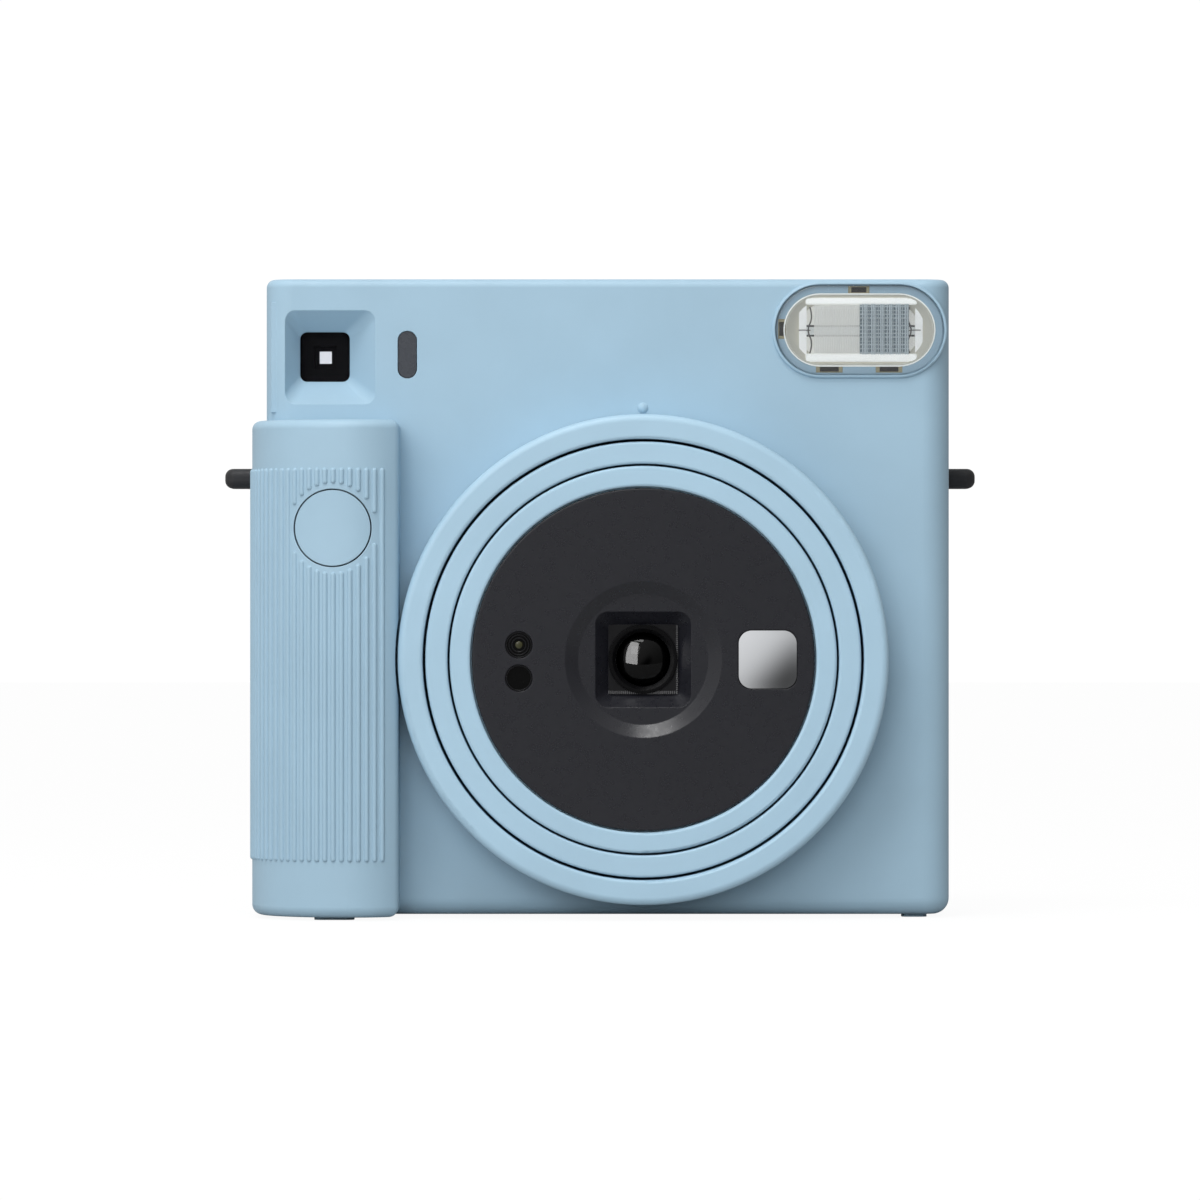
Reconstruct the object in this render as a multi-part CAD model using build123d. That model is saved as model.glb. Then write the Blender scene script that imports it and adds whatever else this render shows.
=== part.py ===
from build123d import *
import os
from math import acos, asin, atan2, cos, degrees, pi, radians, sin, sqrt, tan

# A square-format instant camera, as an assembly of separate pieces, one STEP file each.
# Millimetres. X runs to the right seen from the front, Y from front to back and Z up.
# The origin is on the supporting surface, under the middle of the camera.

# Body
WALL = 2.0
BODY_LEFT = -62.4
BODY_RIGHT = 65.3
BODY_BOTTOM = 0.6
BODY_TOP = 119.2
BODY_FRONT = -12.75
BODY_BACK = 28.75
SPLIT_Y = 3.0
CORNER_RADIUS = 5.0
TOP_EDGE_RADIUS = 1.5
BOTTOM_EDGE_RADIUS = 3.0
SEAM_CHAMFER = 0.25
FAR = 100.0
TOLERANCE = 0.01

# Grip: a side arc and a tighter nose arc meet at its front-most line
GRIP_TOP = 92.7
GRIP_RIGHT = -37.3
GRIP_CENTRE_X = -46.4
GRIP_CENTRE_Y = -9.75
GRIP_SIDE_RADIUS = 18.6
GRIP_NOSE_RADIUS = 12.5
GRIP_BACK = BODY_BACK
GRIP_EDGE_RADIUS = 2.0
GRIP_TOP_RADIUS = 1.6
GRIP_BOTTOM_RADIUS = 1.9
GRIP_REAR_RADIUS = 5.0
SIDE_X = GRIP_CENTRE_X - GRIP_SIDE_RADIUS
RIB_PITCH = 1.55
RIB_RADIUS = 0.475
RIB_SINK = 0.075
RIB_BOTTOM = 10.9
RIB_TOP = 83.7
RIB_CLEARANCE_RADIUS = 8.2

# Shutter button
BUTTON_X = -49.4
BUTTON_Z = 72.6
BUTTON_RADIUS = 7.0
BUTTON_GAP = 0.25
BUTTON_FLANGE_Y = -21.2
SPRING_RADIUS = 5.2
SPRING_WIRE_RADIUS = 0.35
SPRING_TURNS = 4
BUTTON_FLANGE = 1.2
BUTTON_STEM_RADIUS = 1.6
BUTTON_STEM_BACK = -16.8
SWITCH_HALF = 3.0
SWITCH_FRONT = -14.6

# Lens
LENS_X = 8.0
LENS_Z = 48.3
RING_OUTER = 45.4
RING_INNER = 40.8
RING_FRONT = -26.75
RING_BACK = -13.05
RING_SPIGOT_OUTER = 41.6
RING_SPIGOT_BACK = -9.5
SHELL_HOLE_RADIUS = 41.9
CLIP_OUTER = 44.0
RING_RELIEF_RADIUS = 45.9
BARREL_FRONT = -26.45
BARREL_BACK = -4.45
OUTER_BARREL = (36.2, 40.3)
INNER_BARREL = (32.0, 35.8)
FACE_RADIUS = 31.7
FACE_FRONT = -26.1
FACE_BACK = -23.9
COUNTERSINK_FRONT_RADIUS = 14.5
COUNTERSINK_BACK_RADIUS = 12.1
COUNTERSINK_DEPTH = 1.5
RECESS_FRONT_SIZE = 17.8
RECESS_BACK_SIZE = 13.0
RECESS_DEPTH = 3.0
RECESS_CORNER = 2.4
BEZEL_RADIUS = 6.4
FRONT_LENS_RADIUS = 5.0
REAR_LENS_RADIUS = 5.9
SENSOR_X = LENS_X - 23.0
SENSOR_HEIGHTS = (LENS_Z + 2.7, LENS_Z - 3.44)
SENSOR_HOLE_RADIUS = 2.53
MIRROR_X = LENS_X + 23.0
MIRROR_SIZE = 10.7
MIRROR_CORNER = 2.4
MIRROR_BULGE_RADIUS = 40.0
HOUSING_RADIUS = 18.0
HOUSING_FRONT = -20.4
APERTURE_RADIUS = 4.5
BLADE_PIVOT = 11.5
BLADE_RADIUS = 5.6
BLADE_PIN_RADIUS = 0.8
BLADE_THICKNESS = 0.4
FRONT_BLADE_Y = -18.3
REAR_BLADE_Y = -17.3
HOUSING_FLOOR = -18.6
HOUSING_LID = -16.4
HOUSING_BACK = -15.0
BEZEL_FRONT = -22.3
BOSS_RADIUS = 15.5
EDGE_ROUNDING = 0.5
GUIDE_PLATE = (-4.0, -1.0)
GUIDE_ROD_RADIUS = 0.8
GUIDE_BORE_RADIUS = 0.88
GUIDE_ROD_FRONT = -23.9
GUIDE_PLATE_SIZE = 80.0
GUIDE_POST_OFFSET = 35.0
GUIDE_POST_RADIUS = 2.5

# Viewfinder
FINDER_X = -51.5
FINDER_Z = 104.8
RECESS_CENTRE = (-50.4, 104.6)
RECESS_SIZE = (17.0, 17.5)
RECESS_MOUTH_CORNER = 2.0
FINDER_WINDOW = 9.3
FINDER_CORNER = 1.35
FINDER_DEPTH = 5.0
TUNNEL_OUTER = 12.0
TUNNEL_INNER = 10.0
FINDER_WINDOW_THICKNESS = 0.9
FINDER_BACK = 26.0
MASK_Y = -4.0
MASK_THICKNESS = 1.0
MASK_APERTURE = 2.3
MASK_STEP = 4.3
EYEPIECE_SIZE = (15.0, 13.0)
EYEPIECE_CORNER = 2.0
EYEPIECE_OPENING = 8.5
EYEPIECE_LENS = 9.8
PILL_CENTRE = (-35.95, 105.07)
PILL_SIZE = (3.4, 8.7)
PILL_Y = (-12.6, -10.4)

# Flash
FLASH_X = 48.44
FLASH_Z = 109.7
FLASH_COVER = (31.3, 16.6)
FLASH_BOSS = (32.7, 18.0)
FLASH_OPENING = (28.0, 13.3)
FLASH_BOSS_FRONT = -13.35
FLASH_COVER_FRONT = -13.65
FLASH_SEAT_Y = -12.05
FLASH_SEAT_GAP = 0.15
REFLECTOR_X = (37.2, 60.3)
REFLECTOR_Z = (103.65, 115.75)
REFLECTOR_Y = (-10.6, -4.5)
REFLECTOR_RADII = (5.6, 4.85)
REFLECTOR_END_WALL = 1.4
TUBE_Y = -7.6
TUBE_RADIUS = 1.1
# Each clip is its centre in X and Z, its width and its height.
FLASH_CLIPS = (
    (48.46, 117.2, 2.7, 1.4),
    (33.95, 109.9, 1.2, 2.8),
    (42.9, 102.4, 5.0, 1.3),
    (54.1, 102.4, 5.0, 1.3),
)
CLIP_Y = (-12.0, -9.6)

# Film
PACK_X = (-31.5, 47.5)
PACK_Y = (9.0, 24.5)
PACK_Z = (7.5, 101.0)
IMAGE_SIZE = 62.0
FILM_SIZE = (72.0, 86.0)
FILM_TOP = 97.3
SHEET_COUNT = 10
SHEET_THICKNESS = 0.35
SHEET_PITCH = 0.5
FILM_PLANE_Y = 10.0
PACK_WALL = 1.2
PACK_FRONT_WALL = 0.8
CHAMBER_X = (-33.0, 49.0)
CHAMBER_Y = (7.7, 24.0)
CHAMBER_Z = (6.0, 101.0)
CHAMBER_WALL = 1.2
CHAMBER_FRONT = -1.0
CHAMBER_FRAME = 1.0
CHAMBER_LEFT_TOP = 80.0
CHAMBER_MOUTH = 44.0
ROLLER_X = (-30.0, 46.0)
ROLLER_RADIUS = 4.6
ROLLER_Z = 107.5
ROLLER_SHAFT_RADIUS = 1.5
DRIVE_ROLLER_Y = 5.2
PINCH_ROLLER_Y = 14.8
EXIT_X = (-31.5, 47.5)
EXIT_Y = (7.4, 12.6)
EXIT_SLOT_X = (-29.5, 45.5)
EXIT_SLOT_Y = (8.6, 11.4)
EXIT_TRIM_BOTTOM = 116.2

# Gears
GEAR_MODULE = 0.6
PRESSURE_ANGLE = radians(20)
BACKLASH = 0.16
ADDENDUM = 0.8 * GEAR_MODULE
DEDENDUM = 1.15 * GEAR_MODULE
ROLLER_TEETH = 16
WHEEL_TEETH = 36
SMALL_TEETH = 14
PINION_TEETH = 12
WHEEL_Y = 2.2
WHEEL_Z = 99.0
MOTOR_Y = 9.4
MOTOR_Z = 86.5
MOTOR_RADIUS = 6.0
MOTOR_X = (-58.8, -39.0)
ROLLER_GEAR_X = (-34.0, -32.0)
WHEEL_GEAR_X = (-36.5, -34.5)
GEAR_PLATE_X = (-38.8, -37.6)
WHEEL_SHAFT_RADIUS = 1.0
MOTOR_SHAFT_RADIUS = 0.75
MOTOR_FLAT = 5.0
MOTOR_NOSE_RADIUS = 2.0
BRACKET_X = (-31.6, 47.6)
BRACKET_Y = (-1.0, 20.0)
BRACKET_Z = (101.5, 114.0)
BRACKET_WALL = 1.2

# Back door, hinged on a pin at its left edge
DOOR_X = (-37.6, 59.5)
DOOR_Z = (4.0, 101.0)
DOOR_INSIDE = 26.6
DOOR_GAP = 0.3
DOOR_REBATE_LEFT = -39.4
DOOR_REBATE_FRONT = 20.0
FIT_GAP = 0.1
DOOR_HINGE_X = -37.6
DOOR_HINGE_Y = 27.55
HINGE_PIN_RADIUS = 0.6
HINGE_BORE_RADIUS = 0.66
KNUCKLE_RADIUS = 1.1
KNUCKLE_CLEARANCE = 1.8
DOOR_KNUCKLES = ((14.0, 34.0), (71.0, 91.0))
EAR_LENGTH = 3.2
LATCH_X = (51.0, 57.0)
LATCH_Z = (43.0, 55.0)
LATCH_TRAVEL = 3.0
LATCH_NECK_X = (52.3, 55.7)
LATCH_NECK_Z = (46.0, 52.0)
LATCH_DEPTH = 1.0
LATCH_GRIP_LINES = (45.5, 47.5, 49.5, 51.5)
PACK_WINDOW = (30.0, 55.0)
PACK_WINDOW_SIZE = (8.0, 22.0)
PAD_LEFT_EDGES = (-8.0, 16.0)
PAD_OPENING = 8.0
PANEL_FRONT = 25.6

# Battery door, hinged on a pin at its rear edge
BATTERY_DOOR_Y = (4.8, 22.6)
BATTERY_DOOR_Z = (9.6, 76.0)
BATTERY_DOOR_INSIDE = -62.8
BATTERY_HINGE_X = -63.9
BATTERY_HINGE_Y = 22.6
BATTERY_KNUCKLES = ((16.0, 30.0), (54.0, 68.0))
CELL_X = -54.3
CELL_Y = 13.5
CELL_RADIUS = 7.8
CELL_LENGTH = 27.0
CELL_BOTTOM = 13.0
CELL_GAP = 0.2
BATTERY_BAY_Y = (5.5, 21.5)
BATTERY_BAY_Z = (11.1, 68.9)
TRAY_WALL = 0.9
TRAY_X = (-60.3, -45.2)
CONTACT_THICKNESS = 0.6
CONTACT_SIZE = 10.0

# Frame counter, straps, feet and screws
COUNTER_X = -51.0
COUNTER_Z = 70.0
COUNTER_RADIUS = 9.0
COUNTER_WINDOW_Z = 76.2
COUNTER_WINDOW = (6.0, 4.5)
COUNTER_DIAL_Y = (24.2, 25.4)
COUNTER_NOTCHES = 20
THUMB_REST_X = -50.5
THUMB_GROOVE_HEIGHTS = (48.0, 52.0, 56.0)
THUMB_GROOVE = (12.0, 1.6)
THUMB_GROOVE_DEPTH = 0.5
COUNTER_WINDOW_CORNER = 0.8
COUNTER_PIN_RADIUS = 1.0
LUG_Z = 82.3
LUG_THICKNESS = 3.75
LUG_REACH = 71.1
LUG_Y = (9.0, 18.0)
LUG_GAP = 0.05
LUG_HOLE_X = 55.0
LUG_BAR = 2.4
FEET = ((-49.3, -19.5, 7.4), (58.85, -5.5, 4.7), (-52.3, 19.5, 7.4), (58.85, 19.5, 4.7))
FOOT_LENGTH = 5.0
SCREW_PLACES = ((-30.0, -6.0), (44.0, -6.0), (-38.0, 20.0), (44.0, 20.0))
SCREW_HEAD_RADIUS = 1.9
SCREW_HEAD_TOP = 1.7
SCREW_RADIUS = 0.9
SCREW_TOP = 5.2
SCREW_BOSS_RADIUS = 2.6


def along_x(sketch, start, end):
    """Extrude a sketch drawn in Y and Z between two X positions."""
    return extrude(Plane.YZ.offset(start) * sketch, amount=end - start)


def along_y(sketch, start, end):
    """Extrude a sketch drawn in X and Z between two Y positions, the front one first."""
    return extrude(Plane.XZ.offset(-end) * sketch, amount=end - start)


def along_z(sketch, start, end):
    """Extrude a sketch drawn in X and Y between two heights."""
    return extrude(Plane.XY.offset(start) * sketch, amount=end - start)


def block(x, y, z):
    """A box from its lowest and highest X, Y and Z."""
    return along_z(Pos((x[0] + x[1]) / 2, (y[0] + y[1]) / 2) * Rectangle(x[1] - x[0], y[1] - y[0]), *z)


def rod_x(y, z, radius, start, end):
    return along_x(Pos(y, z) * Circle(radius), start, end)


def rod_y(x, z, radius, start, end):
    return along_y(Pos(x, z) * Circle(radius), start, end)


def rod_z(x, y, radius, start, end):
    return along_z(Pos(x, y) * Circle(radius), start, end)


def lens_rod(radius, start, end):
    """A rod on the lens axis."""
    return rod_y(LENS_X, LENS_Z, radius, start, end)


def lens_ring_solid(inner, outer, start, end):
    """A plain ring on the lens axis."""
    return lens_rod(outer, start, end) - lens_rod(inner, start, end)


def tapered(centre, size, corner, y, end_centre, end_size, end_corner, end_y):
    """A tapered rounded rectangle between two Y positions."""
    first = Plane.XZ.offset(-y) * Pos(*centre) * RectangleRounded(*size, corner)
    last = Plane.XZ.offset(-end_y) * Pos(*end_centre) * RectangleRounded(*end_size, end_corner)
    return loft([first, last])


def stadium(size):
    return SlotOverall(size[0], size[1])


def ring_edges_at(solid, y, radius):
    """The round edges on the lens axis at one Y position and radius."""
    circles = solid.edges().filter_by(GeomType.CIRCLE)
    at_radius = circles.filter_by(lambda edge: abs(edge.radius - radius) < TOLERANCE)
    return at_radius.filter_by(lambda edge: abs(edge.center().Y - y) < TOLERANCE)


# Casing

def make_body_block():
    """The outside of both shells as one solid block."""
    body = block((BODY_LEFT, BODY_RIGHT), (BODY_FRONT, BODY_BACK), (BODY_BOTTOM, BODY_TOP))
    body = fillet(body.edges().filter_by(Axis.Z), CORNER_RADIUS)
    body = fillet(body.faces().sort_by(Axis.Z)[-1].edges(), TOP_EDGE_RADIUS)
    return fillet(body.faces().sort_by(Axis.Z)[0].edges(), BOTTOM_EDGE_RADIUS)


def make_interior():
    """The space inside both shells."""
    space = block(
        (BODY_LEFT + WALL, BODY_RIGHT - WALL),
        (BODY_FRONT + WALL, BODY_BACK - WALL),
        (BODY_BOTTOM + WALL, BODY_TOP - WALL),
    )
    return fillet(space.edges().filter_by(Axis.Z), CORNER_RADIUS - WALL)


def grip_outline(inset):
    """The grip in plan, set in from its outside face."""
    side_radius = GRIP_SIDE_RADIUS - inset
    nose_radius = GRIP_NOSE_RADIUS - inset
    flank_x = GRIP_RIGHT - inset
    nose_y = GRIP_CENTRE_Y - side_radius + nose_radius
    nose_angle = degrees(asin((flank_x - GRIP_CENTRE_X) / nose_radius))
    side = CenterArc((GRIP_CENTRE_X, GRIP_CENTRE_Y), side_radius, 180, 90)
    nose = CenterArc((GRIP_CENTRE_X, nose_y), nose_radius, 270, nose_angle)
    rear_right = (flank_x, GRIP_BACK - inset)
    rear_left = (GRIP_CENTRE_X - side_radius, GRIP_BACK - inset)
    return make_face(side + nose + Polyline(nose @ 1, rear_right, rear_left, side @ 0))


def make_grip_mass():
    """The grip and the swelling behind it on the left side, as one solid block."""
    mass = along_z(grip_outline(0), BODY_BOTTOM, GRIP_TOP)
    uprights = mass.edges().filter_by(Axis.Z)
    flank_edge = uprights.filter_by(lambda edge: edge.center().Y < BODY_FRONT).sort_by(Axis.X)[-1]
    mass = fillet(flank_edge, GRIP_EDGE_RADIUS)
    rear_edge = mass.edges().filter_by(Axis.Z).sort_by_distance((SIDE_X, GRIP_BACK, GRIP_TOP / 2))[0]
    mass = fillet(rear_edge, GRIP_REAR_RADIUS)
    mass = fillet(mass.faces().sort_by(Axis.Z)[-1].edges(), GRIP_TOP_RADIUS)
    return fillet(mass.faces().sort_by(Axis.Z)[0].edges(), GRIP_BOTTOM_RADIUS)


def rib_place(distance):
    """Plan position of a rib, by its distance round the grip from where the side starts to curve."""
    quarter = GRIP_SIDE_RADIUS * pi / 2
    if distance <= 0:
        return (SIDE_X + RIB_SINK, GRIP_CENTRE_Y - distance)
    if distance <= quarter:
        angle = pi + distance / GRIP_SIDE_RADIUS
        reach = GRIP_SIDE_RADIUS - RIB_SINK
        return (GRIP_CENTRE_X + reach * cos(angle), GRIP_CENTRE_Y + reach * sin(angle))
    angle = 1.5 * pi + (distance - quarter) / GRIP_NOSE_RADIUS
    reach = GRIP_NOSE_RADIUS - RIB_SINK
    nose_y = GRIP_CENTRE_Y - GRIP_SIDE_RADIUS + GRIP_NOSE_RADIUS
    return (GRIP_CENTRE_X + reach * cos(angle), nose_y + reach * sin(angle))


def make_rib(place, bottom, top):
    """One raised rib with round ends."""
    rib = rod_z(*place, RIB_RADIUS, bottom + RIB_RADIUS, top - RIB_RADIUS)
    rib += Pos(*place, bottom + RIB_RADIUS) * Sphere(RIB_RADIUS)
    return rib + Pos(*place, top - RIB_RADIUS) * Sphere(RIB_RADIUS)


def rib_spans(place):
    """Height spans of a rib: whole, or broken where it would cross the shutter button."""
    offset = place[0] - BUTTON_X
    if abs(offset) >= RIB_CLEARANCE_RADIUS or place[1] > BODY_FRONT:
        return [(RIB_BOTTOM, RIB_TOP)]
    half = sqrt(RIB_CLEARANCE_RADIUS**2 - offset**2)
    return [(RIB_BOTTOM, BUTTON_Z - half), (BUTTON_Z + half, RIB_TOP)]


def make_grip_cover(body, mass):
    cover = mass & block((-FAR, FAR), (-FAR, SPLIT_Y), (0, FAR))
    cavity = along_z(grip_outline(WALL), BODY_BOTTOM + WALL, GRIP_TOP - WALL)
    cover -= cavity & block((-FAR, FAR), (-FAR, BODY_FRONT + WALL), (0, FAR))
    cover -= body
    first = -int((SPLIT_Y - RIB_RADIUS - GRIP_CENTRE_Y) / RIB_PITCH)
    last = int(GRIP_SIDE_RADIUS * pi / 2 / RIB_PITCH) + 5
    for index in range(first, last + 1):
        place = rib_place(index * RIB_PITCH)
        for bottom, top in rib_spans(place):
            cover += make_rib(place, bottom, top)
    cover -= lens_rod(RING_RELIEF_RADIUS, -FAR, BODY_FRONT)
    return cover - rod_y(BUTTON_X, BUTTON_Z, BUTTON_RADIUS + BUTTON_GAP, -FAR, BODY_FRONT)


def make_screw_bosses(places):
    bosses = [rod_z(x, y, SCREW_BOSS_RADIUS, BODY_BOTTOM + WALL / 2, SCREW_TOP + 0.6) for x, y in places]
    return bosses[0] + bosses[1:]


def cut_screw_holes(shell, places):
    for x, y in places:
        shell -= rod_z(x, y, SCREW_HEAD_RADIUS + 0.2, 0, SCREW_HEAD_TOP)
        shell -= rod_z(x, y, SCREW_RADIUS + 0.05, SCREW_HEAD_TOP / 2, SCREW_TOP + 0.3)
    return shell


def make_front_shell(body, interior):
    shell = body & block((-FAR, FAR), (-FAR, SPLIT_Y), (0, 2 * FAR))
    shell -= interior
    seam = shell.faces().filter_by(Axis.Y).sort_by(Axis.Y)[-1].outer_wire().edges()
    shell = chamfer(seam, SEAM_CHAMFER)
    boss = along_y(Pos(FLASH_X, FLASH_Z) * stadium(FLASH_BOSS), FLASH_BOSS_FRONT, BODY_FRONT + WALL)
    shell += fillet(boss.faces().sort_by(Axis.Y)[0].edges(), 0.4)
    finder_back = BODY_FRONT + FINDER_DEPTH + 1.0
    shell += block((BODY_LEFT + WALL / 2, -40.4), (BODY_FRONT + WALL / 2, finder_back), (94.3, 114.9))
    shell += Pos(LENS_X, BODY_FRONT + 0.65, 95.1) * Sphere(1.2)
    shell += make_screw_bosses(SCREW_PLACES[:2])
    shell -= tapered(
        RECESS_CENTRE, RECESS_SIZE, RECESS_MOUTH_CORNER, BODY_FRONT,
        (FINDER_X, FINDER_Z), (FINDER_WINDOW, FINDER_WINDOW), FINDER_CORNER, BODY_FRONT + FINDER_DEPTH,
    )
    window = RectangleRounded(FINDER_WINDOW, FINDER_WINDOW, FINDER_CORNER)
    shell -= along_y(Pos(FINDER_X, FINDER_Z) * window, BODY_FRONT + FINDER_DEPTH, finder_back)
    shell -= lens_rod(SHELL_HOLE_RADIUS, -FAR, BODY_FRONT + WALL)
    pill = SlotOverall(PILL_SIZE[1] + 0.2, PILL_SIZE[0] + 0.2, rotation=90)
    shell -= along_y(Pos(*PILL_CENTRE) * pill, -FAR, 0)
    seat = (FLASH_COVER[0] + 2 * FLASH_SEAT_GAP, FLASH_COVER[1] + 2 * FLASH_SEAT_GAP)
    shell -= along_y(Pos(FLASH_X, FLASH_Z) * stadium(seat), -FAR, FLASH_SEAT_Y)
    shell -= along_y(Pos(FLASH_X, FLASH_Z) * stadium(FLASH_OPENING), -FAR, -10.0)
    for x, z, width, height in FLASH_CLIPS:
        shell -= along_y(Pos(x, z) * Rectangle(width, height), -FAR, -9.5)
    return cut_screw_holes(shell, SCREW_PLACES[:2])


def hinge_ears(knuckles):
    """Height spans of the fixed ears, one each side of every knuckle."""
    spans = []
    for bottom, top in knuckles:
        spans.append((bottom - DOOR_GAP - EAR_LENGTH, bottom - DOOR_GAP))
        spans.append((top + DOOR_GAP, top + DOOR_GAP + EAR_LENGTH))
    return spans


def make_rear_shell(body, mass, interior):
    shell = (body + mass) & block((-FAR, FAR), (SPLIT_Y, FAR), (0, 2 * FAR))
    shell -= interior
    door_x = (DOOR_REBATE_LEFT, DOOR_X[1] + DOOR_GAP)
    shell -= block(door_x, (DOOR_REBATE_FRONT, FAR), (DOOR_Z[0] - DOOR_GAP, DOOR_Z[1] + DOOR_GAP))
    for bottom, top in hinge_ears(DOOR_KNUCKLES):
        ear_y = (DOOR_HINGE_Y - KNUCKLE_RADIUS, DOOR_HINGE_Y + KNUCKLE_RADIUS)
        shell += block((DOOR_REBATE_LEFT - 0.6, DOOR_HINGE_X), ear_y, (bottom, top))
        shell += rod_z(DOOR_HINGE_X, DOOR_HINGE_Y, KNUCKLE_RADIUS, bottom, top)
    shell -= rod_z(DOOR_HINGE_X, DOOR_HINGE_Y, HINGE_PIN_RADIUS, 5.0, 99.0)
    shell -= block((-FAR, BATTERY_DOOR_INSIDE), (BATTERY_DOOR_Y[0] - DOOR_GAP, 24.2),
                   (BATTERY_DOOR_Z[0] - DOOR_GAP, BATTERY_DOOR_Z[1] + DOOR_GAP))
    shell -= block((-FAR, CELL_X), BATTERY_BAY_Y, BATTERY_BAY_Z)
    for bottom, top in hinge_ears(BATTERY_KNUCKLES):
        shell += block((BATTERY_HINGE_X - KNUCKLE_RADIUS, BATTERY_DOOR_INSIDE), (BATTERY_HINGE_Y, 24.4),
                       (bottom, top))
        shell += rod_z(BATTERY_HINGE_X, BATTERY_HINGE_Y, KNUCKLE_RADIUS, bottom, top)
    shell -= rod_z(BATTERY_HINGE_X, BATTERY_HINGE_Y, HINGE_PIN_RADIUS, 11.0, 75.0)
    shell -= block(EXIT_X, EXIT_Y, (100.0, 2 * FAR))
    eyepiece = RectangleRounded(*EYEPIECE_SIZE, EYEPIECE_CORNER)
    shell -= along_y(Pos(FINDER_X, FINDER_Z) * eyepiece, FINDER_BACK - 1.0, FAR)
    counter_opening = RectangleRounded(*COUNTER_WINDOW, COUNTER_WINDOW_CORNER)
    shell -= along_y(Pos(COUNTER_X, COUNTER_WINDOW_Z) * counter_opening, FINDER_BACK - 1.0, FAR)
    shell += rod_y(COUNTER_X, COUNTER_Z, COUNTER_PIN_RADIUS, COUNTER_DIAL_Y[0] - 0.6, BODY_BACK - WALL / 2)
    for height in THUMB_GROOVE_HEIGHTS:
        groove = Pos(THUMB_REST_X, height) * stadium(THUMB_GROOVE)
        shell -= along_y(groove, BODY_BACK - THUMB_GROOVE_DEPTH, FAR)
    lug_hole = Rectangle(LUG_Y[1] - LUG_Y[0] + 2 * LUG_GAP, LUG_THICKNESS + 2 * LUG_GAP)
    shell -= along_x(Pos(sum(LUG_Y) / 2, LUG_Z) * lug_hole, -FAR, -LUG_HOLE_X)
    shell -= along_x(Pos(sum(LUG_Y) / 2, LUG_Z) * lug_hole, LUG_HOLE_X, FAR)
    shell += make_screw_bosses(SCREW_PLACES[2:])
    return cut_screw_holes(shell, SCREW_PLACES[2:])


def make_film_exit_trim():
    trim = block((EXIT_X[0] + 0.05, EXIT_X[1] - 0.05), (EXIT_Y[0] + 0.05, EXIT_Y[1] - 0.05),
                 (EXIT_TRIM_BOTTOM, BODY_TOP))
    trim -= block(EXIT_SLOT_X, EXIT_SLOT_Y, (110.0, 2 * FAR))
    lips = trim.faces().sort_by(Axis.Z)[-1].inner_wires()[0].edges()
    return chamfer(lips, 0.5)


def make_feet():
    feet = [
        along_z(Pos(x, y) * RectangleRounded(width, FOOT_LENGTH, 1.5), 0, BODY_BOTTOM) for x, y, width in FEET
    ]
    return Compound(children=feet)


def make_case_screws():
    screws = []
    for x, y in SCREW_PLACES:
        screw = rod_z(x, y, SCREW_HEAD_RADIUS, 0.75, SCREW_HEAD_TOP)
        screw += rod_z(x, y, SCREW_RADIUS, SCREW_HEAD_TOP, SCREW_TOP)
        screw -= block((x - 1.2, x + 1.2), (y - 0.2, y + 0.2), (0, 1.25))
        screw -= block((x - 0.2, x + 0.2), (y - 1.2, y + 1.2), (0, 1.25))
        screws.append(screw)
    return Compound(children=screws)


def make_strap_lug(side, wall_face, inner_face):
    """A U-shaped strap bar; side is -1 on the left and 1 on the right."""
    tip = side * LUG_REACH
    middle_y = sum(LUG_Y) / 2
    length = abs(tip - inner_face)
    outline = Pos((tip + inner_face) / 2, middle_y) * RectangleRounded(length, LUG_Y[1] - LUG_Y[0], 1.8)
    lug = along_z(outline, LUG_Z - LUG_THICKNESS / 2, LUG_Z + LUG_THICKNESS / 2)
    lug = fillet(lug.faces().filter_by(Axis.Z).edges(), 1.5)
    gap = abs(tip - wall_face) - LUG_BAR
    slot = Pos(wall_face + side * gap / 2, middle_y) * RectangleRounded(gap, LUG_Y[1] - LUG_Y[0] - 4.0, 1.0)
    lug -= along_z(slot, LUG_Z - LUG_THICKNESS, LUG_Z + LUG_THICKNESS)
    flange_x = sorted((inner_face, inner_face - side * 1.2))
    return lug + block(flange_x, (LUG_Y[0] - 1.0, LUG_Y[1] + 1.0), (LUG_Z - 2.9, LUG_Z + 2.9))


# Viewfinder

def make_finder_window():
    size = FINDER_WINDOW - 0.1
    glass = RectangleRounded(size, size, FINDER_CORNER)
    front = BODY_FRONT + FINDER_DEPTH + FIT_GAP
    return along_y(Pos(FINDER_X, FINDER_Z) * glass, front, front + FINDER_WINDOW_THICKNESS)


def make_finder_tunnel():
    centre = Pos(FINDER_X, FINDER_Z)
    front = BODY_FRONT + FINDER_DEPTH + FIT_GAP + FINDER_WINDOW_THICKNESS
    tunnel = along_y(centre * Rectangle(TUNNEL_OUTER, TUNNEL_OUTER), front, FINDER_BACK)
    tunnel -= along_y(centre * Rectangle(TUNNEL_INNER, TUNNEL_INNER), front, FINDER_BACK)
    mask_front = MASK_Y - MASK_THICKNESS
    mask_back = MASK_Y + MASK_THICKNESS
    mask = along_y(centre * Rectangle(TUNNEL_OUTER, TUNNEL_OUTER), mask_front, mask_back)
    mask -= along_y(centre * Rectangle(MASK_STEP, MASK_STEP), mask_front, MASK_Y)
    mask -= along_y(centre * Rectangle(MASK_APERTURE, MASK_APERTURE), MASK_Y, mask_back)
    return tunnel + mask


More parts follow.
